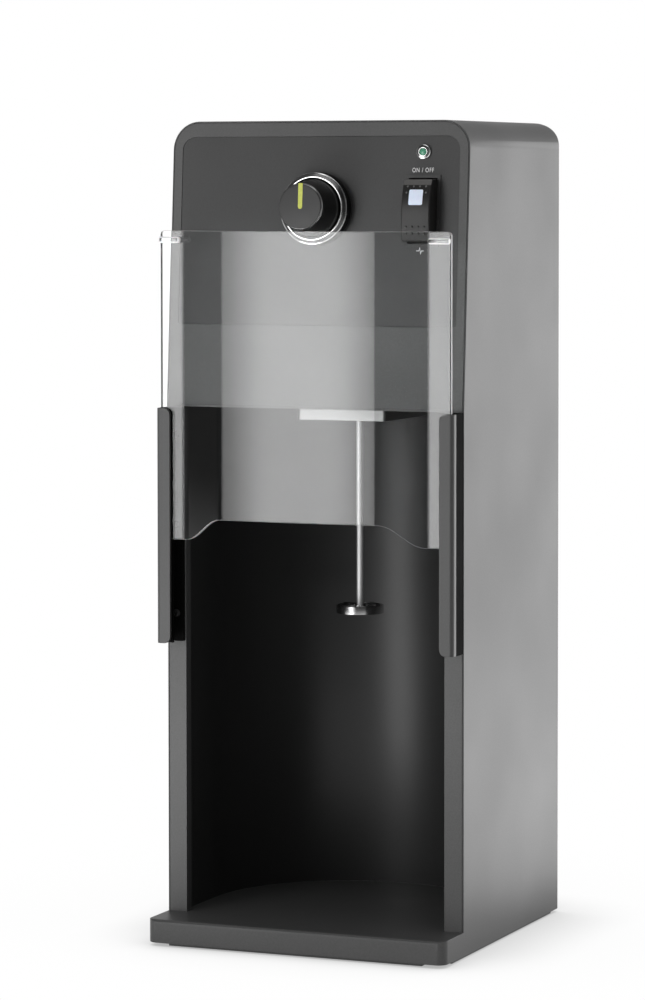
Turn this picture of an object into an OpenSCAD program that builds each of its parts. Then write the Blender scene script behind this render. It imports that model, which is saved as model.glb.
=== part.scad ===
// Countertop spindle mixer for milkshakes and ice cream.
// A leaning motor head stands over an open cup bay. A thin shaft with an agitator disc hangs
// from the head, and a clear splash shield slides in two rails in front of the bay.
// Millimetres. +Z is up and the bay faces -Y. The origin is on the ground, under the centre
// of the footprint. Depths are counted from the front face of the pillars, and in_place()
// moves them to that origin.

/* [Body] */
// Width of the body
body_w = 227; // [215:1:250]
// Depth from the pillars' front face to the back flange
body_d = 201.5; // [198:0.5:230]
// Height of the head's lower front edge above the ground
head_z = 383; // [360:1:430]
// Height of the head, from its lower front edge to the top
head_h = 203; // [198:1:230]
// Backward lean of the head's face, in degrees
lean = 3.7; // [0:0.1:5]
// Sheet thickness of the shell
shell_t = 1; // [0.8:0.1:1.5]
// Radius of the two top edges, seen from the front
top_r = 20; // [16:1:28]
// Radius of the bends along the back edges
back_edge_r = 5; // [3:0.5:7]
// Width of the flange that frames the opening in the back
back_flange_w = 14; // [13:0.5:18]

/* [Plinth] */
// Height of the plinth's top, which is the floor of the cup bay
floor_z = 19; // [15:0.5:28]
// Reach of the plinth's lip in front of the pillars
lip_reach = 37; // [30:1:55]
// Height of the shell's lower rim above the ground
rim_z = 2.3; // [2:0.1:4]
// Radius of the lip's upright corners
lip_corner_r = 7; // [4:0.5:10]
// Radius of the bend along the lip's top front edge
lip_edge_r = 2.5; // [2:0.1:4]
// Width of the flange that frames the opening in the underside
rim_flange_w = 13; // [12:0.5:18]
// Thickness of the base pan
pan_t = 1.4; // [1.2:0.1:1.6]
// Distance that the pan stays inside the shell's outline
pan_inset = 0.8; // [0.2:0.1:0.9]
// Length of the notch at each of the pan's corners
pan_notch = 17; // [12:1:22]
// Radius of a rubber foot
foot_r = 11; // [8:0.5:14]
// Distance from the foot's centre to the shell's side, front and back
foot_inset = 28; // [27:1:34]

/* [Front frame] */
// Sheet thickness of the front frame
frame_t = 1.5; // [1.2:0.1:2]
// Width of a pillar's front face
pillar_w = 13; // [11:0.5:16]
// Groove between the front frame and the shell's edge
seam_gap = 0.5; // [0.3:0.1:0.8]
// Depth of the frame's folded returns
return_d = 8; // [6:0.5:10]
// Depth of the ledge under the head's lower front edge
ledge_d = 12; // [11:0.5:16]

/* [Cup bay] */
// Depth of the bay, from the pillars' front face to its back wall
bay_d = 168.5; // [160:0.5:172]
// Step from the pillar's inner edge to the liner's wall
liner_step = 5; // [4:0.5:7]
// Sheet thickness of the liner
liner_t = 1; // [0.8:0.1:1.5]
// Thickness of the plate over the bay
head_floor_t = 1.5; // [1.2:0.1:2.5]

/* [Control panel] */
// Distance from the body's side to the panel's edge
panel_side = 7.5; // [6.5:0.5:10]
// Distance from the frame's top edge to the panel's top edge
panel_top = 9.5; // [7:0.5:14]
// Distance from the head's lower edge to the panel's lower edge, along the face
panel_low = 58.8; // [45:0.2:70]
// Radius of the panel's top corners
panel_r = 10; // [6:1:14]
// Depth of the panel's front below the frame's front
panel_recess = 0.5; // [0.3:0.1:0.8]
// Thickness of the panel's rear rim
panel_t = 1.5; // [1:0.1:2.5]
// Distance from the frame's top edge down to the knob's axis
knob_down = 61; // [52:0.5:66]
// Distance from the frame's top edge down to the rocker's centre
switch_down = 62; // [58:0.5:70]
// Distance from the frame's top edge down to the indicator
led_down = 20.8; // [18:0.2:24]
// Distance from the body's side to the middle of the rocker and the indicator
switch_side = 34.5; // [29.5:0.5:48]

/* [Speed knob] */
// Radius of the knob's skirt
knob_r = 20.8; // [18:0.2:22]
// Radius of the knob's front face
knob_face_r = 15.6; // [14:0.2:17.5]
// Height of the knob's front above the panel's outer plane
knob_h = 32.5; // [28:0.5:32.5]
// Outer radius of the chrome ring
ring_r = 25.4; // [24.4:0.2:25.8]
// Height of the chrome ring, which stands round the knob's skirt
ring_h = 11; // [9:0.5:13]
// Radius of the black gasket behind the ring
gasket_r = 26; // [26:0.5:31]
// Radius of the potentiometer's shaft
pot_shaft_r = 3; // [2.5:0.1:3.2]
// Width of the pointer
pointer_w = 3.3; // [2.4:0.1:4]

/* [Rocker and indicator] */
// Width of the rocker's paddle
rocker_w = 20.9; // [18:0.1:22]
// Radius of the paddle's two ends about its pivot
rocker_end_r = 22.5; // [20:0.1:24]
// Radius of the paddle's curved front
rocker_front_r = 50; // [40:1:70]
// Height of the paddle's front above the panel's outer plane
rocker_proud = 12.5; // [10:0.1:14]
// Side of the paddle's lit lens
rocker_lens_w = 11.3; // [9:0.1:13]
// Height of the lens's centre above the pivot
rocker_lens_up = 8.7; // [7:0.1:9]
// Outer radius of the indicator's bezel
led_r = 5.5; // [5:0.1:7]

/* [Splash shield] */
// Thickness of the acrylic
shield_t = 3; // [2.5:0.1:3.5]
// Half width of the shield's flat middle
shield_mid = 59.6; // [50:0.2:68]
// Distance that the middle stands in front of the side flanges
shield_bow = 12; // [10.5:0.5:16]
// Width of a side flange
shield_flange_w = 18.4; // [16:0.2:21]
// Height of the shield, from its flanges' lower ends to the top
shield_h = 218.8; // [200:0.2:230]
// Rise of the lower edge in the middle
shield_rise = 15.7; // [8:0.1:22]
// Height of the shield's top edge above the rails at rest
shield_raised = 125.3; // [110:0.1:130]
// Radius of the stop pins
pin_r = 2.25; // [1.8:0.05:2.6]
// Length of the stop pins
pin_len = 16; // [12:0.5:18]
// Distance from the shield's top edge down to the pins
pin_down = 5.8; // [4:0.1:8]

/* [Rails] */
// Length of the rails
rail_h = 168; // [150:1:180]
// Distance from the head's lower edge down to the rails' tops
rail_down = 0.5; // [0.3:0.1:4]
// Distance from the body's side to the rail's outer side
rail_inset = 0.4; // [0.2:0.1:1]
// Width of a rail's cover
cover_w = 10.6; // [9.5:0.1:12]
// Thickness of a rail's cover
cover_t = 2.5; // [2:0.1:3]
// Width of a rail's back flange
channel_w = 13.1; // [12.5:0.1:14]
// Wall thickness of the rail's channel
channel_t = 2.5; // [2:0.1:2.8]
// Play of the shield's flange in the rail, on each side
slide_gap = 0.4; // [0.3:0.05:0.6]
// Distance from the pillar's face to the flange's front
flange_out = 17; // [16:0.5:18]

/* [Spindle] */
// Distance from the pillars' front face to the spindle
spindle_y = 87; // [84:0.5:90]
// Radius of the agitator's shaft
shaft_r = 2.5; // [2:0.1:2.8]
// Distance from the head's lower edge down to the top of the agitator
spindle_reach = 147; // [120:0.5:170]
// Radius of the agitator
agitator_r = 17.3; // [14:0.1:22]
// Height of the agitator's rim
agitator_h = 5.9; // [5:0.1:8]
// Running clearance of a shaft in its bearing
running = 0.05; // [0.02:0.01:0.08]

/* [Drive cover] */
// Half width of the cover under the head
drive_half = 34; // [30:0.5:40]
// Distance from the pillars' front face to the cover's front
drive_front = 52; // [49:0.5:56]
// Depth of the cover
drive_d = 86; // [82:0.5:90]
// Height of the cover below the head
drive_h = 11; // [10.5:0.5:16]
// Sheet thickness of the cover
drive_t = 1.2; // [1:0.1:1.5]

/* [Motor] */
// Outer radius of the motor
motor_r = 36; // [33:0.5:38]
// Length of the motor's can
motor_h = 60; // [56:1:64]
// Height of the rubber mounts
mount_h = 27.5; // [26:0.5:30]
// Radius of the rotor's shaft
rotor_shaft_r = 4; // [3.5:0.1:4.5]
// Radius of the rotor's core
rotor_r = 22; // [20:0.5:23]
// Radius of the cooling fan
fan_r = 28; // [24:0.5:30]

/* [Back] */
// Thickness of the rear cover
rear_t = 1; // [0.8:0.1:1.5]
// Height of the screw heads on the back
head_t = 1.6; // [1.4:0.1:2.2]
// Number of slots in each column of vents
vent_count = 9; // [5:1:10]
// Height of a vent slot
vent_slot = 3; // [2:0.1:3.6]
// Length of a vent slot
vent_len = 60; // [45:1:66]
// Height of the power inlet above the ground
inlet_z = 64; // [60:1:80]
// Distance from the body's side to the middle of the power inlet
inlet_side = 53.5; // [47.5:1:63.5]

/* [Hidden] */
$fn = 64;

body_h = head_z + head_h;
// Depth of the frontmost and rearmost points, and the shift to the origin
rear_y = body_d + rear_t + head_t;
shift_y = (lip_reach - rear_y) / 2;
// Through cuts start this far outside the solid
cut = 1;
// Outer half width of the front frame, and half width of the bay's mouth
frame_half = body_w / 2 - shell_t - seam_gap;
bay_half = frame_half - pillar_w;
// The tower's pieces stand in a shallow seat around the bay's floor
seat_z = floor_z - 0.3;
seat_play = 0.2;
// Inner radius of the liner and the depth of its centre
liner_r = bay_half + liner_step;
liner_cy = bay_d - liner_r;
// Height of the head's face, measured along its lean
face_h = (body_h - shell_t - seam_gap - head_z) / cos(lean);
face_r = top_r - shell_t - seam_gap;
knob_up = face_h - knob_down;
switch_up = face_h - switch_down;
led_up = face_h - led_down;
panel_back = frame_t + panel_t;
panel_half = body_w / 2 - panel_side;
switch_x = body_w / 2 - switch_side;
inlet_x = body_w / 2 - inlet_side;

// Rails and shield
rail_out = body_w / 2 - rail_inset;
rail_top = head_z - rail_down;
rail_low = rail_top - rail_h;
side_return = 1.5;
slot_front = flange_out + slide_gap;
slot_back = flange_out - shield_t - slide_gap;
shield_half = rail_out - side_return - slide_gap;
shield_bend = shield_half - shield_flange_w;
shield_top = rail_top + shield_raised;
shield_low = shield_top - shield_h;
bend_angle = atan2(shield_bow, shield_bend - shield_mid);
bend_shift = shield_t * tan(bend_angle / 2);
rail_screw_x = rail_out - 7.6;
rail_screw_margin = 20;

// Screw sizes: shank, its hole, and the head's radius
screw_r = 1.5;
screw_hole_r = 1.6;
screw_head_r = 3;

// Heights of the drive, from the plate over the bay upwards
plate_top = head_z + head_floor_t;
housing_lip = 3;
housing_flange_r = 22;
housing_r = 13.5;
seat_gap = 0.02;
bearing_r = 8;
bearing_h = 5;
bearing_z = head_z - drive_h + drive_t + 3.8;
coupling_z = plate_top + housing_lip + 1.5;
coupling_h = 20;
coupling_r = 8;
shaft_end = coupling_z + 9;
rotor_start = coupling_z + 11;
bracket_z = plate_top + mount_h;
bracket_t = 3;
bell_h = 10;
can_z = bracket_z + bracket_t + bell_h;
can_t = 2;
upper_z = can_z + motor_h;
upper_h = 12;
core_z = can_z + 6;
core_h = 34;
fan_z = upper_z + upper_h + 3;
fan_h = 9;
mount_reach = 36;
mount_r = 7;

// Agitator
disc_top = head_z - spindle_reach;
stud_r = shaft_r - 0.6;
hub_h = 4;
nut_h = 3;

// Control board
board_y = drive_front + drive_d + 6;
board = [110, body_d - shell_t - 10.5 - board_y, 1.6];
// Depth that is left on the board behind the terminal block
board_free = board[1] - 14;
board_lift = 8;
board_z = plate_top + board_lift;
board_top = board_z + board[2];
terminal_h = 10;
terminal_half = 22;
capacitor_h = 24;
relay_w = 24;
relay_h = 15;
fin_pitch = 5;
fin_t = 2;

// Back
rear_margin = 4;
rear_low = floor_z + 5;
rear_screw_x = body_w / 2 - 9;
rear_screw_rows = 5;
rear_screw_low = floor_z + 26;
rear_screw_high = body_h - top_r - 16;
inlet_size = [31, 24];
inlet_flange = [48, 27];
inlet_depth = 20;
socket = [24.6, 17];
socket_depth = 16;

// Control panel
panel_fit = 0.2;

// Speed knob: the ring, the nut and the potentiometer, as heights above the panel's outer plane
gasket_top = 0.3;
ring_floor = 1.6;
ring_rise = 2.4;
ring_play = 0.8;
ring_bore = knob_r + ring_play;
bushing_r = pot_shaft_r + 1.7;
nut_r = 8;
nut_top = ring_floor + 2.3;
bushing_top = nut_top + 0.5;
pot_h = 12;
pot_r = 12;
knob_low = 4.9;
knob_bore_top = knob_h - 4.5;
pointer_depth = 0.8;

// Rocker switch, in depths behind the panel's outer plane
pivot_y = 3;
trunnion_r = 1.5;
rocker_play = 0.3;
front_cy = rocker_front_r - rocker_proud;
well_depth = 8.5;
lens_depth = 1.5;
housing_half_w = rocker_w / 2 + 1.35;
housing_half_h = rocker_end_r + 1.3;
housing_back = 22;
blade_l = 9;

// Indicator
led_body_r = led_r - 1.5;
led_lens_r = led_r - 2.2;
led_depth = panel_back + 8;
led_nut_t = 2.5;

// Rails and shield
cover_r = 5;
channel_lip = 2;
channel_lip_w = 10;
shield_steps = 16;

// Screws, feet and the pan
stem_r = 4;
pan_z = rim_z - pan_t;
set_screw_r = 1.4;
// Each set screw's height in the coupling, and the radius of the shaft that it holds
set_screws = [[4.5, shaft_r], [15.5, rotor_shaft_r]];

// Drive cover and its seal
drive_z = head_z - drive_h;
tab_w = 10;
tab_reach = 11;
seal_r = 7;
seal_flange_r = 8.5;

// Motor
mount_bore_r = 2.6;
bracket_half = mount_reach + 9;
commutator_r = 10;
commutator_z = core_z + core_h + 4;
commutator_h = 12;
brush_w = 8;

// Wiring
wire_sides = 8;
wire_hole_r = 6;
wire_y = bay_d + liner_t + 4.5;
terminal_y = board_y + 6.5;
terminal_z = board_top + terminal_h;

// Vents
vent_x = 45;
vent_low = floor_z + 110;
vent_high = head_z + 92;

module in_place() translate([0, shift_y, 0]) children();

// The head's face: x to the right, y into the head, z up along the leaning face
module on_face() in_place() translate([0, 0, head_z]) rotate([-lean, 0, 0]) children();

// A round part's axis on the face, with z pointing out of the panel
module facing(x, up) on_face() translate([x, 0, up]) rotate([90, 0, 0]) children();

module at_spindle(z) in_place() translate([0, spindle_y, z]) children();

module both_sides() for (side = [0, 1]) mirror([side, 0, 0]) children();

// An outline in depth and height, extruded across the body
module across(width) rotate([90, 0, 90]) translate([0, 0, -width / 2]) linear_extrude(width) children();

// An outline in width and height, extruded from depth y0 to depth y1
module deep(y0, y1) translate([0, y1, 0]) rotate([90, 0, 0]) linear_extrude(y1 - y0) children();

// A fillet never vanishes inside its own sheet
function inner_r(r, inset) = max(r - inset, 0.2);

// A rectangle from corner a to corner b with one radius for its two low and one for its two high corners
module rounded(a, b, low_r, high_r) {
    translate([a[0], a[1] + low_r]) square([b[0] - a[0], b[1] - a[1] - low_r - high_r]);
    translate([a[0] + low_r, a[1]]) square([b[0] - a[0] - 2 * low_r, low_r + 0.01]);
    translate([a[0] + high_r, b[1] - high_r - 0.01]) square([b[0] - a[0] - 2 * high_r, high_r + 0.01]);
    for (x = [a[0] + low_r, b[0] - low_r]) translate([x, a[1] + low_r]) circle(low_r);
    for (x = [a[0] + high_r, b[0] - high_r]) translate([x, b[1] - high_r]) circle(high_r);
}

module plan_outline(inset) {
    half = body_w / 2 - inset;
    rounded([-half, inset - lip_reach], [half, body_d - inset],
        inner_r(lip_corner_r, inset), inner_r(back_edge_r, inset));
}

module front_outline(inset, low) {
    half = body_w / 2 - inset;
    rounded([-half, low], [half, body_h - inset], 0.01, inner_r(top_r, inset));
}

// The tower's side, with its leaning front moved forward by reach
module side_outline(inset, reach, low) {
    top = body_h - inset;
    back = body_d - inset;
    r = inner_r(back_edge_r, inset);
    polygon([[-reach, low], [-reach, head_z], [(top - head_z) * tan(lean) - reach, top],
        [back - r, top], [back - r, low]]);
    translate([back - r - 0.01, low]) square([r + 0.01, top - r - low]);
    translate([back - r, top - r]) circle(r);
}

module tower(inset, reach, low) intersection() {
    deep(-reach - cut, body_d + cut) front_outline(inset, low);
    across(body_w + 2 * cut) side_outline(inset, reach, low);
    translate([0, 0, low]) linear_extrude(body_h + cut - low) plan_outline(inset);
}

module plinth(inset, low) intersection() {
    across(body_w + 2 * cut) {
        front = inset - lip_reach;
        top = floor_z - inset;
        r = inner_r(lip_edge_r, inset);
        translate([front, low]) square([body_d - inset - front, top - r - low]);
        translate([front + r, low]) square([body_d - inset - front - r, top - low]);
        translate([front + r, top - r]) circle(r);
    }
    translate([0, 0, low - cut]) linear_extrude(floor_z) plan_outline(inset);
}

// Places of the screws through the rear cover
module at_rear_screws() {
    pitch = (rear_screw_high - rear_screw_low) / (rear_screw_rows - 1);
    for (x = [-rear_screw_x, rear_screw_x], row = [0:rear_screw_rows - 1])
        translate([x, body_d, rear_screw_low + row * pitch]) rotate([-90, 0, 0]) children();
}

// Places of the screws through the base pan, in the middle of the rim's flange
module at_pan_screws() {
    x = body_w / 2 - rim_flange_w / 2;
    for (p = [[-x, 10], [x, 10], [-x, body_d - 40], [x, body_d - 40],
            [0, rim_flange_w / 2 - lip_reach], [0, body_d - rim_flange_w / 2]])
        translate([p[0], p[1], rim_z]) children();
}

module at_feet() for (x = [foot_inset - body_w / 2, body_w / 2 - foot_inset],
        y = [foot_inset - lip_reach, body_d - foot_inset]) translate([x, y, 0]) children();

// The bay's plan: a half circle at the back and straight sides up to the front
module bay_plan(r, front) {
    translate([0, liner_cy]) intersection() {
        circle(r);
        translate([-r - cut, 0]) square([2 * (r + cut), r + cut]);
    }
    translate([-r, front]) square([2 * r, liner_cy + 0.01 - front]);
}

// The seat in the floor, under the pillars and the liner
module seat_plan() difference() {
    intersection() {
        plan_outline(shell_t);
        translate([-body_w, -seat_play]) square([2 * body_w, body_d]);
    }
    bay_plan(liner_r - seat_play, return_d + seat_play);
    mouth = bay_half - seat_play;
    translate([-mouth, -cut]) square([2 * mouth, return_d + 2 * cut]);
}

// Side, top, plinth and lip in one folded and welded sheet body
module outer_shell() color("#5c5c5e") in_place() difference() {
    union() {
        plinth(0, rim_z);
        tower(0, 0, floor_z - shell_t);
    }
    tower(shell_t, cut, floor_z);
    translate([0, 0, seat_z]) linear_extrude(floor_z + cut - seat_z) seat_plan();
    deep(body_d - shell_t - cut, body_d + cut) front_outline(back_flange_w, floor_z + back_flange_w);
    plinth(shell_t, rim_z + shell_t);
    translate([0, 0, rim_z - cut]) linear_extrude(shell_t + 2 * cut) plan_outline(rim_flange_w);
    at_rear_screws() translate([0, 0, -shell_t - cut]) cylinder(h = shell_t + 2 * cut, r = screw_hole_r);
    at_pan_screws() translate([0, 0, -cut]) cylinder(h = shell_t + 2 * cut, r = screw_hole_r);
}

module pillar() difference() {
    union() {
        translate([bay_half, 0, seat_z]) cube([pillar_w, frame_t, head_z - seat_z]);
        for (x = [bay_half, frame_half - frame_t]) translate([x, 0, seat_z])
            cube([frame_t, return_d, head_z - seat_z]);
    }
    at_rail_screws() cylinder(h = frame_t + cut, r = screw_hole_r);
}

// The head's face: a plate with a folded rim and the panel's opening
module head_face() difference() {
    deep(0, return_d) rounded([-frame_half, 0], [frame_half, face_h], 0.01, face_r);
    deep(frame_t, return_d + cut) rounded([frame_t - frame_half, -cut],
        [frame_half - frame_t, face_h - frame_t], 0.01, inner_r(face_r, frame_t));
    deep(-cut, frame_t + cut) panel_outline(0);
}

module front_frame() color("#59595b") union() {
    in_place() both_sides() pillar();
    in_place() translate([-bay_half - frame_t, 0, head_z])
        cube([2 * (bay_half + frame_t), ledge_d, head_floor_t]);
    on_face() head_face();
}

module panel_outline(inset) rounded([inset - panel_half, panel_low + inset],
    [panel_half - inset, face_h - panel_top - inset], 2, inner_r(panel_r, inset));

module panel_bore(x, up, r) facing(x, up) translate([0, 0, -panel_back - cut])
    cylinder(h = panel_back + 2 * cut, r = r);

// A thin plate in the frame's opening, with a wider rim behind the frame's face
module control_panel() color("#484848") difference() {
    on_face() {
        deep(panel_recess, frame_t) panel_outline(panel_fit);
        deep(frame_t, panel_back) panel_outline(-3);
    }
    panel_bore(0, knob_up, bushing_r + panel_fit);
    panel_bore(switch_x, led_up, led_body_r + panel_fit);
    on_face() deep(-cut, panel_back + cut)
        translate([switch_x - housing_half_w - panel_fit, switch_up - housing_half_h - panel_fit])
            square(2 * [housing_half_w + panel_fit, housing_half_h + panel_fit]);
}

module alcove_liner() color("#1c1c1d") in_place() translate([0, 0, seat_z])
    linear_extrude(head_z - seat_z) difference() {
        bay_plan(liner_r + liner_t, frame_t);
        bay_plan(liner_r, frame_t - cut);
    }

// Places of the two screws through the drive cover's tabs
module at_drive_screws() for (y = [drive_front - 7, drive_front + drive_d + 7])
    translate([0, y, head_z - drive_t]) children();

module at_mounts() for (x = [-mount_reach, mount_reach], y = [-mount_reach, mount_reach])
    translate([x, spindle_y + y, plate_top]) children();

// Plate over the bay, which carries the drive
module head_floor() color("#2a2a2b") in_place() difference() {
    translate([0, 0, head_z]) linear_extrude(head_floor_t) intersection() {
        plan_outline(shell_t + 0.3);
        translate([-body_w, ledge_d]) square([2 * body_w, body_d]);
    }
    translate([0, spindle_y, head_z - cut]) cylinder(h = head_floor_t + 2 * cut, r = housing_r + 0.2);
    translate([-inlet_x, wire_y, head_z - cut]) cylinder(h = head_floor_t + 2 * cut, r = wire_hole_r);
    at_drive_screws() cylinder(h = drive_t + head_floor_t + cut, r = screw_hole_r);
    at_mounts() translate([0, 0, -head_floor_t - cut]) cylinder(h = head_floor_t + 2 * cut, r = mount_bore_r);
}

module vent_column(x, z) for (row = [0:vent_count - 1]) translate([x, z + row * 2.2 * vent_slot]) {
    translate([vent_slot / 2 - vent_len / 2, -vent_slot / 2]) square([vent_len - vent_slot, vent_slot]);
    for (end = [-1, 1]) translate([end * (vent_len - vent_slot) / 2, 0]) circle(vent_slot / 2);
}

// Back plate with two banks of vents and the inlet's cut-out
module rear_cover() color("#3c3c3e") in_place() difference() {
    deep(body_d, body_d + rear_t) difference() {
        rounded([rear_margin - body_w / 2, rear_low], [body_w / 2 - rear_margin, body_h - rear_margin],
            3, inner_r(top_r, rear_margin));
        for (x = [-vent_x, vent_x], z = [vent_low, vent_high]) vent_column(x, z);
        translate([-inlet_x - inlet_size[0] / 2 - 0.1, inlet_z - inlet_size[1] / 2 - 0.1])
            square(inlet_size + [0.2, 0.2]);
    }
    at_rear_screws() translate([0, 0, -cut]) cylinder(h = rear_t + 2 * cut, r = screw_hole_r);
}

module rear_cover_screws() color("#9a9a9c") in_place() at_rear_screws() {
    translate([0, 0, rear_t]) cylinder(h = head_t, r = screw_head_r);
    translate([0, 0, -shell_t - 4]) cylinder(h = shell_t + rear_t + 4.01, r = screw_r);
}

// Sheet pan that closes the underside, notched at its corners
module base_pan() color("#2e2e30") in_place() difference() {
    translate([0, 0, pan_z]) linear_extrude(pan_t) difference() {
        plan_outline(pan_inset);
        for (x = [-1, 1], y = [-lip_reach, body_d]) translate([x * body_w / 2, y])
            square(2 * [pan_notch, pan_notch], center = true);
    }
    at_feet() translate([0, 0, pan_z - cut]) cylinder(h = pan_t + 2 * cut, r = stem_r + 0.1);
    at_pan_screws() translate([0, 0, -pan_t - 0.01])
        cylinder(h = pan_t + 0.02, r1 = screw_head_r + 0.1, r2 = screw_hole_r);
}

module base_pan_screws() color("#9a9a9c") in_place() at_pan_screws() {
    translate([0, 0, -pan_t]) cylinder(h = pan_t, r1 = screw_head_r, r2 = screw_r);
    translate([0, 0, -0.01]) cylinder(h = shell_t + 4, r = screw_r);
}

module rubber_feet() color("#1a1a1a") in_place() at_feet() {
    cylinder(h = pan_z, r = foot_r);
    cylinder(h = rim_z + 0.01, r = stem_r);
    translate([0, 0, rim_z]) cylinder(h = 2.7, r = stem_r + 2);
}

// Bright box under the head, open at the top, with a screw tab in front and behind
module drive_cover() color("#dcdcdc") in_place() difference() {
    union() {
        translate([-drive_half, drive_front, drive_z]) cube([2 * drive_half, drive_d, drive_h]);
        translate([-tab_w / 2, drive_front - tab_reach, head_z - drive_t])
            cube([tab_w, drive_d + 2 * tab_reach, drive_t]);
    }
    translate([drive_t - drive_half, drive_front + drive_t, drive_z + drive_t])
        cube([2 * (drive_half - drive_t), drive_d - 2 * drive_t, drive_h]);
    translate([0, spindle_y, drive_z - cut]) cylinder(h = drive_t + 2 * cut, r = seal_r + 0.1);
    at_drive_screws() translate([0, 0, -cut]) cylinder(h = drive_t + 2 * cut, r = screw_hole_r);
}

module drive_cover_screws() color("#c4c4c6") in_place() at_drive_screws() {
    translate([0, 0, -2]) cylinder(h = 2, r = screw_head_r + 0.5);
    translate([0, 0, -0.01]) cylinder(h = drive_t + head_floor_t + 3, r = screw_r);
}

module tube(h, outer, inner) difference() {
    cylinder(h = h, r = outer);
    translate([0, 0, -cut]) cylinder(h = h + 2 * cut, r = inner);
}

// Lip seal clipped into the drive cover's hole
module shaft_seal() color("#1a1a1a") at_spindle(drive_z) difference() {
    union() {
        translate([0, 0, -0.8]) cylinder(h = 0.8, r = seal_flange_r);
        translate([0, 0, -0.01]) cylinder(h = drive_t + 0.02, r = seal_r);
        translate([0, 0, drive_t]) cylinder(h = 1.8, r = seal_flange_r);
    }
    translate([0, 0, -cut]) cylinder(h = drive_t + 2 * cut + 2, r = shaft_r + running);
}

// Flanged housing on the head floor; the bearing stands on its lower lip
module bearing_housing() color("#b0b0b2") difference() {
    union() {
        at_spindle(plate_top) cylinder(h = housing_lip, r = housing_flange_r);
        at_spindle(bearing_z - 1) cylinder(h = plate_top + 1.01 - bearing_z, r = housing_r);
    }
    at_spindle(bearing_z - 1 - cut) cylinder(h = 2 * cut + 1, r = bearing_r - 1.5);
    at_spindle(bearing_z) cylinder(h = plate_top + housing_lip + cut - bearing_z, r = bearing_r + seat_gap);
}

module lower_bearing() color("#d0d0d2") at_spindle(bearing_z) tube(bearing_h, bearing_r, shaft_r + running);

module motor_bracket() color("#77777a") in_place() difference() {
    translate([-bracket_half, spindle_y - bracket_half, bracket_z])
        cube([2 * bracket_half, 2 * bracket_half, bracket_t]);
    translate([0, spindle_y, bracket_z - cut]) cylinder(h = bracket_t + 2 * cut, r = 14);
    at_mounts() translate([0, 0, mount_h - cut]) cylinder(h = bracket_t + 2 * cut, r = mount_bore_r);
}

module motor_rubber_mounts() color("#1a1a1a") in_place() at_mounts() tube(mount_h, mount_r, mount_bore_r);

module motor_mount_screws() color("#9a9a9c") in_place() at_mounts() {
    translate([0, 0, mount_h + bracket_t]) cylinder(h = 3, r = 5);
    translate([0, 0, 0.2 - head_floor_t])
        cylinder(h = head_floor_t + mount_h + bracket_t - 0.19, r = mount_bore_r - 0.1);
}

module motor_can() color("#8d8d90") at_spindle(can_z) tube(motor_h, motor_r, motor_r - can_t);

module stator_core() color("#6d5a48") at_spindle(core_z)
    tube(core_h, motor_r - can_t - seat_gap, rotor_r + 0.8);

// Cast end bell with a hub, open towards the can
module bell(h, floor) difference() {
    cylinder(h = h, r = motor_r);
    translate([0, 0, floor]) tube(h, motor_r - 3, 9);
    translate([0, 0, -cut]) cylinder(h = h + 2 * cut, r = rotor_shaft_r + running);
}

module motor_lower_bell() color("#a8a8aa") at_spindle(bracket_z + bracket_t) bell(bell_h, 3);

module motor_upper_bell() color("#a8a8aa") at_spindle(upper_z + upper_h) mirror([0, 0, 1]) difference() {
    bell(upper_h, 3);
    for (a = [0:45:315]) rotate(a) translate([22, 0, -cut]) cylinder(h = 3 + 2 * cut, r = 3.5);
}

module brush_holders() color("#3a3226") at_spindle(commutator_z + 1) both_sides()
    translate([commutator_r + 0.5, -brush_w / 2, 0])
        cube([motor_r - can_t - commutator_r - 0.8, brush_w, upper_z - commutator_z - 1]);

// Knob group: z points out of the panel, from the plane of the frame's face
module at_knob() facing(0, knob_up) children();

module knob_gasket() color("#161616") at_knob() translate([0, 0, -panel_recess])
    tube(panel_recess + gasket_top, gasket_r, bushing_r + panel_fit);

// Chrome ring: a cup round the knob's skirt with a bevelled top, clamped by the nut
module knob_ring() color("#d6d6d8") at_knob() rotate_extrude() polygon([
    [bushing_r + panel_fit, gasket_top], [ring_r, gasket_top], [ring_r, ring_h - ring_rise],
    [ring_bore + 0.4, ring_h], [ring_bore, ring_h], [ring_bore, ring_floor],
    [bushing_r + panel_fit, ring_floor]]);

module pot_nut() color("#c8c8ca") at_knob() translate([0, 0, ring_floor]) difference() {
    cylinder(h = nut_top - ring_floor, r = nut_r, $fn = 6);
    translate([0, 0, -cut]) cylinder(h = nut_top + 2 * cut, r = bushing_r + 0.05);
}

module pot_body() color("#7c7c80") at_knob() difference() {
    union() {
        translate([0, 0, -panel_back - pot_h]) cylinder(h = pot_h, r = pot_r);
        translate([-7, -18, -panel_back - pot_h + 3]) cube([14, 10, 1.6]);
        translate([0, 0, -panel_back - 0.01]) cylinder(h = panel_back + bushing_top, r = bushing_r);
    }
    translate([0, 0, -panel_back - pot_h + 2.5])
        cylinder(h = pot_h + panel_back + bushing_top + cut, r = pot_shaft_r + running);
}

module pot_shaft() color("#c8c8ca") at_knob() translate([0, 0, -panel_back - pot_h + 3])
    cylinder(h = knob_bore_top - 0.5 + panel_back + pot_h - 3, r = pot_shaft_r);

module pointer_outline() {
    translate([-pointer_w / 2, 0]) square([pointer_w, knob_face_r - 0.4]);
    circle(pointer_w / 2);
}

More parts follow.
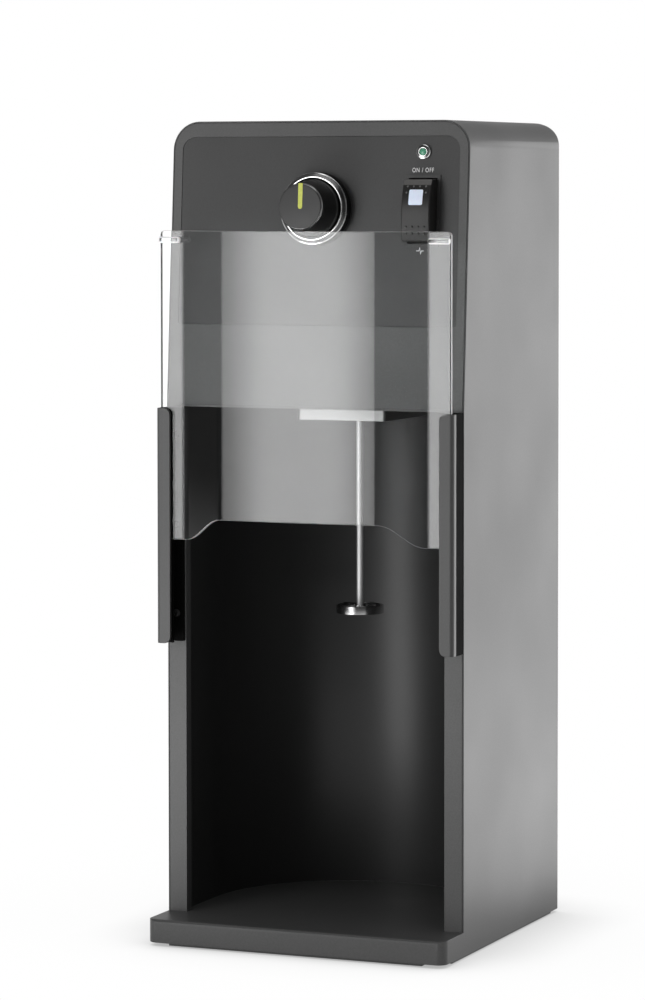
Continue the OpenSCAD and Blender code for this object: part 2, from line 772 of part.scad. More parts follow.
// Tapered knob with a hollow that clears the nut and the bushing
module speed_knob() color("#242426") at_knob() difference() {
    rotate_extrude() polygon([
        [0, knob_h], [knob_face_r, knob_h], [knob_face_r + 1.1, knob_h - 1.4],
        [knob_r, knob_low + 3], [knob_r, knob_low], [bushing_r + 6, knob_low],
        [bushing_r + 6, knob_low + 3], [pot_shaft_r + seat_gap, knob_low + 3],
        [pot_shaft_r + seat_gap, knob_bore_top], [0, knob_bore_top]]);
    translate([0, 0, knob_h - pointer_depth]) linear_extrude(pointer_depth + cut) pointer_outline();
}

module knob_pointer() color("#c9cf52") at_knob() translate([0, 0, knob_h - pointer_depth])
    linear_extrude(pointer_depth + 0.15) pointer_outline();

// Switch group, in the face's frame about the rocker's centre
module at_switch() on_face() translate([switch_x, 0, switch_up]) children();

module cross_rod(y, r, width) translate([-width / 2, y, 0]) rotate([0, 90, 0]) cylinder(h = width, r = r);

module switch_housing() color("#1b1b1c") at_switch() difference() {
    union() {
        translate([-housing_half_w - 1.4, panel_recess - 0.9, -housing_half_h - 1.4])
            cube([2 * housing_half_w + 2.8, 0.9, 2 * housing_half_h + 2.8]);
        translate([-housing_half_w, panel_recess - 0.01, -housing_half_h])
            cube([2 * housing_half_w, housing_back - panel_recess + 0.01, 2 * housing_half_h]);
    }
    translate([-rocker_w / 2 - rocker_play, -cut - 1, -rocker_end_r - 0.4])
        cube([rocker_w + 2 * rocker_play, well_depth + cut + 1, 2 * rocker_end_r + 0.8]);
    cross_rod(pivot_y, trunnion_r + running, 2 * housing_half_w + 2 * cut);
}

module lens_block(inner, outer) intersection() {
    difference() {
        cross_rod(front_cy, outer, rocker_lens_w);
        cross_rod(front_cy, inner, rocker_lens_w + 2 * cut);
    }
    translate([-rocker_w, -rocker_front_r, rocker_lens_up - rocker_lens_w / 2])
        cube([2 * rocker_w, rocker_front_r, rocker_lens_w]);
}

// Paddle: a curved front, ends that run on a circle about the pivot, a hub and two trunnions
module rocker_paddle() color("#232324") at_switch() difference() {
    union() {
        intersection() {
            cross_rod(front_cy, rocker_front_r, rocker_w);
            cross_rod(pivot_y, rocker_end_r, rocker_w);
            translate([-rocker_w, -rocker_front_r, -rocker_front_r])
                cube([2 * rocker_w, rocker_front_r + 1, 2 * rocker_front_r]);
        }
        cross_rod(pivot_y, 4, rocker_w);
        cross_rod(pivot_y, trunnion_r, rocker_w + 1.8);
    }
    lens_block(rocker_front_r - lens_depth, rocker_front_r + cut);
}

module rocker_lens() color("#dfe6f2") at_switch()
    lens_block(rocker_front_r - lens_depth + seat_gap, rocker_front_r + 0.2);

module switch_terminals() color("#c9a45a") at_switch() for (x = [-6, 6], z = [-12, 4])
    translate([x - 0.4, housing_back, z]) cube([0.8, blade_l, 6.3]);

module at_led() facing(switch_x, led_up) children();

module led_bezel() color("#d6d6d8") at_led() rotate_extrude() polygon([
    [led_lens_r + 0.05, -led_depth], [led_body_r, -led_depth], [led_body_r, -panel_recess],
    [led_r, -panel_recess], [led_r, 0.9], [led_r - 0.8, 1.6], [led_lens_r + 0.05, 1.2]]);

module led_lens() color("#4fa37c") at_led() rotate_extrude() polygon(concat(
    [[0, -led_depth], [led_lens_r, -led_depth]],
    [for (a = [0:15:90]) [led_lens_r * cos(a), 1 + 1.2 * sin(a)]]));

module led_nut() color("#c8c8ca") at_led() translate([0, 0, -panel_back - led_nut_t]) difference() {
    cylinder(h = led_nut_t, r = led_body_r + 3, $fn = 6);
    translate([0, 0, -cut]) cylinder(h = led_nut_t + 2 * cut, r = led_body_r + 0.05);
}

// Places of the screws that hold the right rail to its pillar, pointing into the machine
module at_rail_screws() {
    pitch = rail_h / 2 - rail_screw_margin;
    for (k = [0:2]) translate([rail_screw_x, 0, rail_low + rail_screw_margin + k * pitch])
        rotate([-90, 0, 0]) children();
}

// Front plate of a rail, with two rounded inner corners and a folded side
module rail_cover() color("#636365") {
    deep(-slot_front - cover_t, -slot_front) {
        inner = rail_out - cover_w;
        translate([inner + cover_r, rail_low]) square([cover_w - cover_r, rail_h]);
        translate([inner, rail_low + cover_r]) square([cover_w, rail_h - 2 * cover_r]);
        for (z = [rail_low + cover_r, rail_top - cover_r]) translate([inner + cover_r, z]) circle(cover_r);
    }
    translate([rail_out - side_return, -slot_front - 0.01, rail_low])
        cube([side_return, slot_front - slot_back + 0.01, rail_h]);
}

// Black channel behind the cover: back flange, outer web and front lip
module rail_channel() color("#141414") difference() {
    union() {
        translate([rail_out - channel_w, -channel_t, rail_low]) cube([channel_w, channel_t, rail_h]);
        translate([rail_out - channel_t, -slot_back, rail_low]) cube([channel_t, slot_back, rail_h]);
        translate([rail_out - channel_lip_w, -slot_back, rail_low])
            cube([channel_lip_w, channel_lip, rail_h]);
    }
    at_rail_screws() translate([0, 0, -channel_t - cut]) cylinder(h = channel_t + 2 * cut, r = screw_hole_r);
}

module rail_cover_right() in_place() rail_cover();
module rail_cover_left() in_place() mirror([1, 0, 0]) rail_cover();
module rail_channel_right() in_place() rail_channel();
module rail_channel_left() in_place() mirror([1, 0, 0]) rail_channel();

module rail_screws() color("#3a3a3b") in_place() both_sides() at_rail_screws() {
    translate([0, 0, -channel_t - 2]) cylinder(h = 2, r = screw_head_r);
    translate([0, 0, -channel_t - 0.01]) cylinder(h = channel_t + frame_t, r = screw_r);
}

// Splash shield: plan of a folded sheet, cut below by a lower edge that rises in the middle
module shield_plan() {
    front = -flange_out - shield_bow;
    edge = [[shield_mid, front], [shield_bend, -flange_out], [shield_half, -flange_out],
        [shield_half, shield_t - flange_out], [shield_bend - bend_shift, shield_t - flange_out],
        [shield_mid - bend_shift, front + shield_t]];
    polygon(concat(edge, [for (i = [5:-1:0]) [-edge[i][0], edge[i][1]]]));
}

module shield_face() {
    curve = [for (k = [0:shield_steps]) [shield_bend + (shield_mid - shield_bend) * k / shield_steps,
        shield_low + shield_rise * (1 - cos(180 * k / shield_steps)) / 2]];
    right = concat([[shield_half, shield_top], [shield_half, shield_low]], curve);
    polygon(concat(right, [for (i = [len(right) - 1:-1:0]) [-right[i][0], right[i][1]]]));
}

module splash_shield() color([0.86, 0.9, 0.92, 0.35]) in_place() intersection() {
    translate([0, 0, shield_low - cut]) linear_extrude(shield_h + 2 * cut) shield_plan();
    deep(-flange_out - shield_bow - cut, 0) shield_face();
}

// Clear rods on the flanges' fronts, flat where they are glued
module shield_stop_pins() color([0.9, 0.93, 0.95, 0.5]) in_place() both_sides() intersection() {
    translate([shield_half - 0.3 - pin_len, 0.25 - pin_r - flange_out, shield_top - pin_down])
        rotate([0, 90, 0]) {
            cylinder(h = 1, r1 = pin_r - 0.8, r2 = pin_r);
            translate([0, 0, 0.99]) cylinder(h = pin_len - 0.99, r = pin_r);
        }
    translate([0, -flange_out - 4 * pin_r, shield_low]) cube([body_w, 4 * pin_r, shield_h]);
}

// Moving drive parts, from the agitator up to the fan
module agitator_disc() color("#cfcfd1") at_spindle(disc_top - agitator_h) difference() {
    union() {
        tube(agitator_h, agitator_r, agitator_r - 1.4);
        translate([0, 0, agitator_h - 2.9]) cylinder(h = 1.3, r = agitator_r - 1.39);
        translate([0, 0, agitator_h - hub_h]) cylinder(h = hub_h, r = 4.5);
    }
    for (a = [45:90:315]) rotate(a) translate([agitator_r * 0.57, 0, 0])
        cylinder(h = agitator_h, r = agitator_r * 0.21);
    translate([0, 0, -cut]) cylinder(h = agitator_h + 2 * cut, r = stud_r + seat_gap);
}

module agitator_shaft() color("#d8d8da") at_spindle(0) {
    translate([0, 0, disc_top]) cylinder(h = shaft_end - disc_top, r = shaft_r);
    translate([0, 0, disc_top - hub_h - nut_h + 0.5]) cylinder(h = hub_h + nut_h - 0.49, r = stud_r);
}

module agitator_nut() color("#c8c8ca") at_spindle(disc_top - hub_h - nut_h - 1) difference() {
    union() {
        cylinder(h = 1.01, r1 = 2, r2 = 3.2);
        translate([0, 0, 1]) cylinder(h = nut_h, r = 3.6, $fn = 6);
    }
    translate([0, 0, 1.2]) cylinder(h = nut_h + cut, r = stud_r + seat_gap);
}

module shaft_coupling() color("#9c9ca0") at_spindle(coupling_z) difference() {
    cylinder(h = coupling_h, r = coupling_r);
    translate([0, 0, -cut]) cylinder(h = shaft_end - coupling_z + cut + 0.3, r = shaft_r + seat_gap);
    translate([0, 0, rotor_start - coupling_z - 0.3]) cylinder(h = coupling_h, r = rotor_shaft_r + seat_gap);
    for (screw = set_screws) translate([0, 0, screw[0]]) rotate([0, 90, 0])
        cylinder(h = coupling_r + cut, r = set_screw_r + seat_gap);
}

module coupling_screws() color("#4a4a4c") at_spindle(coupling_z) for (screw = set_screws)
    translate([screw[1] + running, 0, screw[0]]) rotate([0, 90, 0])
        cylinder(h = coupling_r - 0.3 - screw[1], r = set_screw_r);

module rotor_shaft() color("#d0d0d2") at_spindle(rotor_start)
    cylinder(h = fan_z + fan_h + 2 - rotor_start, r = rotor_shaft_r);

module rotor_core() color("#5a5a5e") at_spindle(core_z) tube(core_h, rotor_r, rotor_shaft_r + seat_gap);

module commutator() color("#b5793f") at_spindle(commutator_z)
    tube(commutator_h, commutator_r, rotor_shaft_r + seat_gap);

module cooling_fan() color("#2b2b2c") at_spindle(fan_z) difference() {
    union() {
        cylinder(h = 1.2, r = fan_r);
        cylinder(h = fan_h, r = 8);
        for (a = [0:40:320]) rotate(a) translate([7, -0.6, 1]) cube([fan_r - 8, 1.2, fan_h - 1]);
    }
    translate([0, 0, -cut]) cylinder(h = fan_h + 2 * cut, r = rotor_shaft_r + seat_gap);
}

// Control board on four standoffs behind the motor
module at_board() in_place() translate([0, board_y, board_top]) children();

module at_standoffs() for (x = [5 - board[0] / 2, board[0] / 2 - 5], y = [5, board[1] - 5])
    translate([x, y, 0]) children();

module control_board() color("#2f6b45") at_board() difference() {
    translate([-board[0] / 2, 0, -board[2]]) cube(board);
    at_standoffs() translate([0, 0, -board[2] - cut]) cylinder(h = board[2] + 2 * cut, r = screw_hole_r);
}

module board_standoffs() color("#c8b468") at_board() at_standoffs() {
    translate([0, 0, -board[2] - board_lift]) cylinder(h = board_lift, r = 3);
    translate([0, 0, -board[2] - 0.01]) cylinder(h = board[2] + 0.02, r = screw_r);
    cylinder(h = 1.6, r = 2.8);
}

module heat_sink() color("#a9a9ac") at_board() translate([14, board[1] - board_free, 0]) {
    sink_d = 0.8 * board_free;
    cube([6 * fin_pitch + fin_t, sink_d, 4]);
    for (k = [0:6]) translate([k * fin_pitch, 0, 3.9]) cube([fin_t, sink_d, 18]);
}

// Terminal block, capacitor and relay
module board_parts() {
    color("#3f7d4f") at_board() translate([-terminal_half, 2, 0]) cube([2 * terminal_half, 9, terminal_h]);
    color("#2a3550") at_board() translate([-4, board[1] - board_free / 2, 0])
        cylinder(h = capacitor_h, r = board_free / 4);
    color("#22324a") at_board() translate([-42, board[1] - board_free, 0])
        cube([relay_w, board_free / 2, relay_h]);
}

function unit(v) = v / norm(v);
function carried(u, d) = unit(u - (u * d) * d);
function side_of(dirs, i) = carried(i == 0 ? [0.31, 0.87, 0.39] : side_of(dirs, i - 1), dirs[i]);
// A point of the leaning face's frame, in the frame before in_place()
function on_lean(x, y, z) = [x, y * cos(lean) + z * sin(lean), head_z - y * sin(lean) + z * cos(lean)];

// A wire swept along a path
module wire(path, r) {
    last = len(path) - 1;
    dirs = [for (i = [0:last]) unit(path[min(i + 1, last)] - path[max(i - 1, 0)])];
    points = [for (i = [0:last]) let (u = side_of(dirs, i), v = cross(dirs[i], u))
        for (k = [0:wire_sides - 1]) let (a = k * 360 / wire_sides) path[i] + r * (cos(a) * u + sin(a) * v)];
    sides = [for (i = [0:last - 1], k = [0:wire_sides - 1])
        let (n = (k + 1) % wire_sides, a = i * wire_sides, b = a + wire_sides)
        each [[a + k, b + k, b + n], [a + k, b + n, a + n]]];
    ends = [[for (k = [0:wire_sides - 1]) k], [for (k = [wire_sides - 1:-1:0]) last * wire_sides + k]];
    polyhedron(points, concat(sides, ends));
}

// Each wire ends on the terminal block
function to_terminal(x) = [[x, terminal_y, terminal_z + 14], [x, terminal_y, terminal_z]];

module wiring_harness() color("#33363c") in_place() {
    inlet_y = body_d + rear_t - inlet_depth;
    clear_y = min(wire_y, inlet_y - 7);
    wire(concat([
        [-inlet_x, inlet_y, inlet_z], [-inlet_x, inlet_y - 3, inlet_z],
        [-inlet_x, min(wire_y + 1, inlet_y - 6), inlet_z + 6], [-inlet_x, clear_y, inlet_z + 18],
        [-inlet_x, wire_y, inlet_z + 40], [-inlet_x, wire_y, head_z + 30],
        [-inlet_x + 12, wire_y - 2, head_z + 44], [-24, terminal_y + 6, head_z + 48]],
        to_terminal(-16)), 2.5);
    wire(concat([
        on_lean(switch_x + 6, housing_back + blade_l, switch_up + 7),
        on_lean(switch_x + 6, housing_back + blade_l + 4, switch_up + 7), [switch_x + 5, 60, head_z + 130],
        [switch_x - 8, 112, head_z + 92], [40, 138, head_z + 66], [14, terminal_y - 1, head_z + 50]],
        to_terminal(8)), 1.6);
    wire(concat([
        on_lean(switch_x, led_depth, led_up), on_lean(switch_x, led_depth + 4, led_up),
        [switch_x + 3, 50, body_h - 38], [switch_x + 4, 110, head_z + 120], [56, 142, head_z + 82],
        [24, terminal_y + 3, head_z + 60]], to_terminal(16)), 1.4);
    wire(concat([
        on_lean(0, panel_back + pot_h, knob_up), on_lean(0, panel_back + pot_h + 4, knob_up),
        [-8, 40, head_z + knob_up + 2], [-50, 62, head_z + 124], [-58, 112, head_z + 84],
        [-22, terminal_y - 3, head_z + 54]], to_terminal(-8)), 1.4);
    wire(concat([
        [0, spindle_y + 32, upper_z + upper_h], [0, spindle_y + 32, upper_z + upper_h + 4],
        [0, spindle_y + 37, upper_z + upper_h + 8], [0, spindle_y + 43, upper_z + upper_h],
        [0, terminal_y - 6, upper_z - 30]], to_terminal(0)), 1.6);
}

// Power inlet, held behind the rear cover with its face in the cut-out
module at_inlet() in_place() translate([-inlet_x, body_d + rear_t, inlet_z]) children();

module block(size, y0, y1) translate([-size[0] / 2, y0, -size[1] / 2]) cube([size[0], y1 - y0, size[1]]);

module power_inlet() color("#1a1a1b") at_inlet() difference() {
    union() {
        block(inlet_size, -inlet_depth, 0);
        block(inlet_flange, -rear_t - 3, -rear_t);
    }
    block(socket, -socket_depth, cut);
}

module inlet_pins() color("#c9a45a") at_inlet() for (p = [[-7, -3], [7, -3], [0, 4]])
    translate([p[0] - 1, -socket_depth, p[1] - 2]) cube([2, 12, 4]);

outer_shell();
front_frame();
control_panel();
alcove_liner();
head_floor();
rear_cover();
rear_cover_screws();
base_pan();
base_pan_screws();
rubber_feet();
drive_cover();
drive_cover_screws();
shaft_seal();
bearing_housing();
lower_bearing();
motor_bracket();
motor_rubber_mounts();
motor_mount_screws();
motor_can();
stator_core();
motor_lower_bell();
motor_upper_bell();
brush_holders();
knob_gasket();
knob_ring();
pot_body();
pot_nut();
switch_housing();
switch_terminals();
led_bezel();
led_lens();
led_nut();
rail_cover_left();
rail_cover_right();
rail_channel_left();
rail_channel_right();
rail_screws();
control_board();
board_standoffs();
heat_sink();
board_parts();
wiring_harness();
power_inlet();
inlet_pins();
agitator_shaft();
agitator_disc();
agitator_nut();
shaft_coupling();
coupling_screws();
rotor_shaft();
rotor_core();
commutator();
cooling_fan();
speed_knob();
knob_pointer();
pot_shaft();
rocker_paddle();
rocker_lens();
splash_shield();
shield_stop_pins();
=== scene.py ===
import math

import bmesh
import bpy
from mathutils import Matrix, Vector


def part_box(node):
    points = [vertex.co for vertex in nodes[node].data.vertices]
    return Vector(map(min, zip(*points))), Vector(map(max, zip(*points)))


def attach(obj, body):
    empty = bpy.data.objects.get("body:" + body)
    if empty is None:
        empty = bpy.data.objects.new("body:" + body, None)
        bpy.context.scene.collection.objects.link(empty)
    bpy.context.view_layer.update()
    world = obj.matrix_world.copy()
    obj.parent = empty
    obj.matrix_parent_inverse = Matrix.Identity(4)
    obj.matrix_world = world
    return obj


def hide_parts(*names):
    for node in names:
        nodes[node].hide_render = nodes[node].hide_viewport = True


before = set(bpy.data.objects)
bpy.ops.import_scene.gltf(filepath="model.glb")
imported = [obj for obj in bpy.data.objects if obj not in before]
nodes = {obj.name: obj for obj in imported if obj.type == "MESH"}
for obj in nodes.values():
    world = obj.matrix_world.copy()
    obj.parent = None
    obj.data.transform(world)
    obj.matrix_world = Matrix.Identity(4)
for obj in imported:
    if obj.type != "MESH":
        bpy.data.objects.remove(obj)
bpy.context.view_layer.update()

scene = bpy.context.scene
scene.view_settings.view_transform = "Standard"
mm = 0.001

# Where the head's leaning face stands, in millimetres; depths count from the pillars' front
face = {"low": 383.0, "lean": math.radians(3.7), "shift": -83.55, "knobUp": 140.92, "switchUp": 139.92,
        "lampUp": 181.12, "switchX": 79.0}
spindle = {"depth": 87.0}


def machinePoint(x, y, z):
    return Vector((x, y + face["shift"], z)) * mm


def ontoLean(y, z):  # depth and height along the head's leaning face, in millimetres
    c, s = math.cos(face["lean"]), math.sin(face["lean"])
    depth, up = y - face["shift"], z - face["low"]
    return depth * c - up * s, depth * s + up * c


def offLean(x, out, along):
    c, s = math.cos(face["lean"]), math.sin(face["lean"])
    return x, out * c + along * s + face["shift"], face["low"] - out * s + along * c


def facePoint(x, y, z):
    return Vector(offLean(x, y, z)) * mm


def onKnob(x, y, z):  # z points out of the panel
    return facePoint(x, -z, face["knobUp"] + y)


def onLamp(x, y, z):
    return facePoint(face["switchX"] + x, -z, face["lampUp"] + y)


def onSwitch(x, y, z):
    return facePoint(face["switchX"] + x, y, face["switchUp"] + z)


def onSpindle(x, y, z):
    return machinePoint(x, spindle["depth"] + y, z)


# Finishes

def grey(level, warm=0.0):
    value = ((level / 255 + 0.055) / 1.055) ** 2.4 if level > 10 else level / 255 / 12.92
    return (value * (1 + warm), value, value * (1 - warm), 1.0)


def colour(r, g, b):
    return tuple(grey(level)[0] for level in (r, g, b)) + (1.0,)


def fill(tree, node, inputs):  # an input is set, or linked from sockets or from the first output of nodes
    for key, value in inputs.items():
        for given in value if isinstance(value, list) else [value]:
            if isinstance(given, bpy.types.Node):
                given = given.outputs[0]
            if isinstance(given, bpy.types.NodeSocket):
                tree.links.new(given, node.inputs[key])
            elif given is not None:
                node.inputs[key].default_value = given
    return node


def addNode(tree, kind, inputs=None, **settings):
    node = tree.nodes.new(kind)
    for name, value in settings.items():
        setattr(node, name, value)
    return fill(tree, node, inputs or {})


def counted(tree, operation, a, b=None):
    return addNode(tree, "ShaderNodeMath", {0: a, 1: b}, operation=operation)


def faded(tree, value, start, end, low=0.0, high=1.0, kind="SMOOTHSTEP"):
    ends = {"Value": value, "From Min": start, "From Max": end, "To Min": low, "To Max": high}
    return addNode(tree, "ShaderNodeMapRange", ends, interpolation_type=kind)


def mottled(tree, place, scale, detail, low, high, stretch=(1, 1, 1), soft=0.15):
    turn = addNode(tree, "ShaderNodeMapping", {"Vector": place.outputs["Object"], "Scale": stretch})
    noise = addNode(tree, "ShaderNodeTexNoise",
                    {"Vector": turn, "Scale": scale, "Detail": detail}).outputs["Fac"]
    ramp = addNode(tree, "ShaderNodeValToRGB", {"Fac": noise})
    for end, away, tone in zip(ramp.color_ramp.elements, (-soft, soft), (low, high)):
        end.position = 0.5 + away
        end.color = tone
    return noise, ramp


def newMaterial(name):
    material = bpy.data.materials.new(name)
    material.use_nodes = True
    tree = material.node_tree
    return material, tree, addNode(tree, "ShaderNodeTexCoord")


def makeFinish(name, look):
    material, tree, place = newMaterial(name)
    stretch = look.get("stretch", (1, 1, 1))
    # Colour: two close tones, mottled at the scale of the real surface
    _, tones = mottled(tree, place, look["mottle"], 4, *look["tones"], stretch, 0.2)
    # Gloss: broad patches, as handling and coating leave them
    low, high = [(level, level, level, 1) for level in look["rough"]]
    _, patches = mottled(tree, place, look.get("patch", 18), 3, low, high, stretch, 0.25)
    # Grain: what a close view shows
    grain, _ = mottled(tree, place, look["grain"], 2, (0, 0, 0, 1), (1, 1, 1, 1), stretch)
    bump = addNode(tree, "ShaderNodeBump",
                   {"Height": grain, "Strength": look["strength"], "Distance": look["depth"] * mm})
    shader = fill(tree, tree.nodes["Principled BSDF"], {
        "Base Color": tones, "Roughness": patches, "Normal": bump,
        "Metallic": look.get("metal", 0.0), "IOR": look.get("ior", 1.5),
        "Specular IOR Level": look.get("shine", 0.5), "Coat Weight": look.get("coat", 0.0),
        "Coat Roughness": 0.1, "Subsurface Weight": look.get("milk", 0.0), "Subsurface Scale": 0.002})
    if "glow" in look:
        fill(tree, shader, {"Emission Color": look["tones"][1], "Emission Strength": look["glow"]})
    return material


enamelGrain = {"mottle": 900, "grain": 1300, "depth": 0.05, "strength": 0.22, "patch": 9}
moulded = {"mottle": 700, "grain": 1600, "depth": 0.03, "strength": 0.25, "patch": 40}
steel = {"mottle": 80, "grain": 900, "depth": 0.01, "strength": 0.2, "metal": 1.0, "patch": 60}
plated = {"mottle": 90, "grain": 300, "depth": 0.01, "strength": 0.12, "metal": 1.0, "patch": 70}
screwMetal = {"mottle": 300, "grain": 800, "depth": 0.02, "strength": 0.3, "metal": 1.0, "patch": 150}
# Grain of the painted edge highlights on the acrylic
paintedEdgeGrain = {"mottle": 400, "grain": 900, "depth": 0.01, "strength": 0.2, "milk": 0.2}
roughMetal = {"mottle": 60, "grain": 500, "depth": 0.03, "strength": 0.3, "metal": 1.0}


def greys(low, high, warm=0.0):
    return grey(low, warm), grey(high, warm)


def worn(base, tones, rough, **more):
    return {**base, "tones": tones, "rough": rough, **more}


# Even finishes: their grain, two grey levels and two levels of roughness
evenLooks = {
    "graphiteEnamel": (enamelGrain, 71, 79, 0.40, 0.48),
    "panelEnamel": (enamelGrain, 48, 54, 0.42, 0.50),
    "rearEnamel": (enamelGrain, 70, 77, 0.44, 0.52),
    "panEnamel": (enamelGrain, 52, 58, 0.45, 0.55),
    "blackSheet": (enamelGrain, 22, 27, 0.42, 0.5),
    "railGrey": (enamelGrain, 65, 71, 0.40, 0.48),
    "chrome": (plated, 226, 238, 0.05, 0.11),
    # painted reflection: a darker bevel on the chrome ring
    "ringBevelPaintedReflection": (plated, 96, 108, 0.2, 0.3),
    "zincScrew": (screwMetal, 165, 190, 0.26, 0.4),
    "gasketRubber": (moulded, 24, 30, 0.6, 0.75),
    "housingPlastic": (moulded, 47, 53, 0.38, 0.46),
    # painted shade: the lower grip dots
    "gripDark": (moulded, 20, 26, 0.3, 0.4),
    # painted light: the upper grip dots
    "gripLight": (moulded, 96, 108, 0.35, 0.45),
    # painted highlight: the shield's cut edges are painted whitish for the light they catch
    "shieldEdgePaintedHighlight": (paintedEdgeGrain, 182, 196, 0.2, 0.3),
    "socketPlastic": (moulded, 26, 31, 0.4, 0.5),
    "motorPaint": (enamelGrain, 112, 120, 0.4, 0.5),
    "fanPlastic": (moulded, 44, 50, 0.4, 0.5),
}
looks = {name: worn(base, greys(low, high), rough) for name, (base, low, high, *rough) in evenLooks.items()}
looks.update({
    "linerEnamel": worn(enamelGrain, greys(43, 47), (0.32, 0.38), shine=0.4),
    "railBlack": worn(moulded, greys(11, 15), (0.75, 0.85), shine=0.04),
    "brightSteel": worn(roughMetal, greys(134, 146), (0.38, 0.48), depth=0.02, strength=0.25,
                        stretch=(0.05, 1, 1), patch=30),
    "polishedSteel": worn(steel, greys(205, 222), (0.12, 0.2), stretch=(1, 1, 0.3)),
    "satinSteel": worn(steel, greys(212, 226), (0.42, 0.52), stretch=(1, 1, 0.2), metal=0.5),
    "agitatorSteel": worn(steel, greys(150, 182), (0.16, 0.26), mottle=120, grain=700, depth=0.02,
                          strength=0.25, patch=90),
    "darkScrew": worn(screwMetal, greys(60, 74), (0.3, 0.42), grain=900, metal=0.6),
    "knobBlack": worn(moulded, greys(9, 12), (0.36, 0.44), shine=0.6),
    # painted shade: a dark outer wall on the chrome ring
    "ringWall": worn(moulded, greys(8, 11), (0.3, 0.4), shine=0.3),
    # painted highlight: a lighter, glossier rim on the knob's face
    "knobRimPaintedHighlight": worn(moulded, greys(40, 48), (0.14, 0.2), shine=1.0, ior=1.8),
    "pointerYellow": worn(moulded, (colour(196, 202, 84), colour(208, 213, 98)), (0.4, 0.5)),
    "footRubber": worn(moulded, greys(26, 32), (0.7, 0.85), depth=0.06),
    "switchPlastic": worn(moulded, greys(30, 35, 0.04), (0.33, 0.42), shine=0.4),
    # painted highlight: the paddle's top strip is lighter
    "switchTop": worn(moulded, greys(84, 90, 0.03), (0.33, 0.42)),
    "lensWhite": worn(moulded, (colour(205, 214, 230), colour(214, 222, 236)), (0.2, 0.28), milk=0.3,
                      glow=0.25, mottle=300),
    "lampGreen": worn(moulded, (colour(74, 142, 112), colour(88, 156, 126)), (0.1, 0.18), coat=0.5,
                      glow=0.12, mottle=300),
    # painted glow: the white print glows a little
    "printWhite": worn(moulded, greys(232, 242), (0.5, 0.6), glow=0.12),
    # painted highlight: the pins' edges glow white
    "pinEdgePaintedHighlight": worn(paintedEdgeGrain, greys(236, 246), (0.15, 0.25), glow=0.15),
    "brass": worn({}, (colour(190, 152, 84), colour(208, 172, 104)), (0.22, 0.36), mottle=120, grain=700,
                  depth=0.01, strength=0.2, metal=1.0, patch=90),
    "copper": worn({}, (colour(176, 108, 70), colour(200, 128, 88)), (0.25, 0.4), mottle=40, grain=900,
                   depth=0.05, strength=0.3, stretch=(1, 1, 0.05), metal=1.0),
    "castAlloy": worn(roughMetal, greys(168, 184), (0.4, 0.55), mottle=200, grain=600, depth=0.08,
                      strength=0.4),
    "rawAluminium": worn(roughMetal, greys(176, 194), (0.28, 0.42), grain=600, stretch=(1, 0.05, 1)),
    "bracketSteel": worn(roughMetal, greys(150, 170), (0.3, 0.45), mottle=80, stretch=(0.1, 1, 1)),
    "lamination": worn({}, greys(92, 128, 0.03), (0.4, 0.55), mottle=1400, grain=1400, depth=0.1,
                       strength=0.5, stretch=(0.02, 0.02, 1), metal=0.8),
    "phenolic": worn(moulded, (colour(96, 66, 44), colour(120, 84, 56)), (0.4, 0.55)),
    "boardGreen": worn({}, (colour(38, 92, 58), colour(52, 112, 72)), (0.25, 0.35), mottle=240, grain=500,
                       depth=0.03, strength=0.4, coat=0.3),
    "partPlastic": worn(moulded, (colour(40, 62, 78), colour(50, 74, 92)), (0.35, 0.45)),
    "cableSleeve": worn(moulded, greys(48, 58), (0.45, 0.6), mottle=400),
})
finish = {name: makeFinish(name, look) for name, look in looks.items()}

acrylic = {"tint": (0.93, 0.935, 0.935, 1), "clear": (0.96, 0.965, 0.965, 1), "mottle": 25, "ior": 1.49,
           "haze": (0.0, 0.015), "streaks": 60, "stretch": (1, 1, 0.2), "shadow": (0.9, 0.92, 0.92, 1)}


def makeAcrylic(name, look):
    material, tree, place = newMaterial(name)
    _, tones = mottled(tree, place, look["mottle"], 3, look["tint"], look["clear"])
    low, high = [(level, level, level, 1) for level in look["haze"]]
    _, haze = mottled(tree, place, look["streaks"], 6, low, high, look["stretch"])
    shader = fill(tree, tree.nodes["Principled BSDF"], {
        "Base Color": tones, "Roughness": haze, "Transmission Weight": 1.0, "IOR": look["ior"]})
    clear = addNode(tree, "ShaderNodeBsdfTransparent", {"Color": look["shadow"]})
    shadow = addNode(tree, "ShaderNodeLightPath").outputs["Is Shadow Ray"]
    mix = addNode(tree, "ShaderNodeMixShader", {"Fac": shadow, 1: shader, 2: clear})
    fill(tree, tree.nodes["Material Output"], {"Surface": mix})
    return material


finish["acrylic"] = makeAcrylic("acrylic", acrylic)
print("finishes made:", len(finish))

# Camera at the photograph's place and angle
view = {"spot": (1.07856, -2.63081, 0.54314), "turn": 22.811, "tilt": 2.9, "roll": 0.053, "lens": 141.53,
        "shiftY": -0.1193, "sensor": 36.0, "clip": (0.05, 100.0)}


def makeCamera():
    lens = bpy.data.cameras.new("photoCamera")
    lens.lens = view["lens"]
    lens.sensor_width = view["sensor"]
    lens.shift_y = view["shiftY"]
    lens.clip_start, lens.clip_end = view["clip"]
    camera = bpy.data.objects.new("photoCamera", lens)
    camera.location = view["spot"]
    camera.rotation_euler = [math.radians(a) for a in (90 - view["tilt"], view["roll"], view["turn"])]
    scene.collection.objects.link(camera)
    scene.camera = camera


makeCamera()

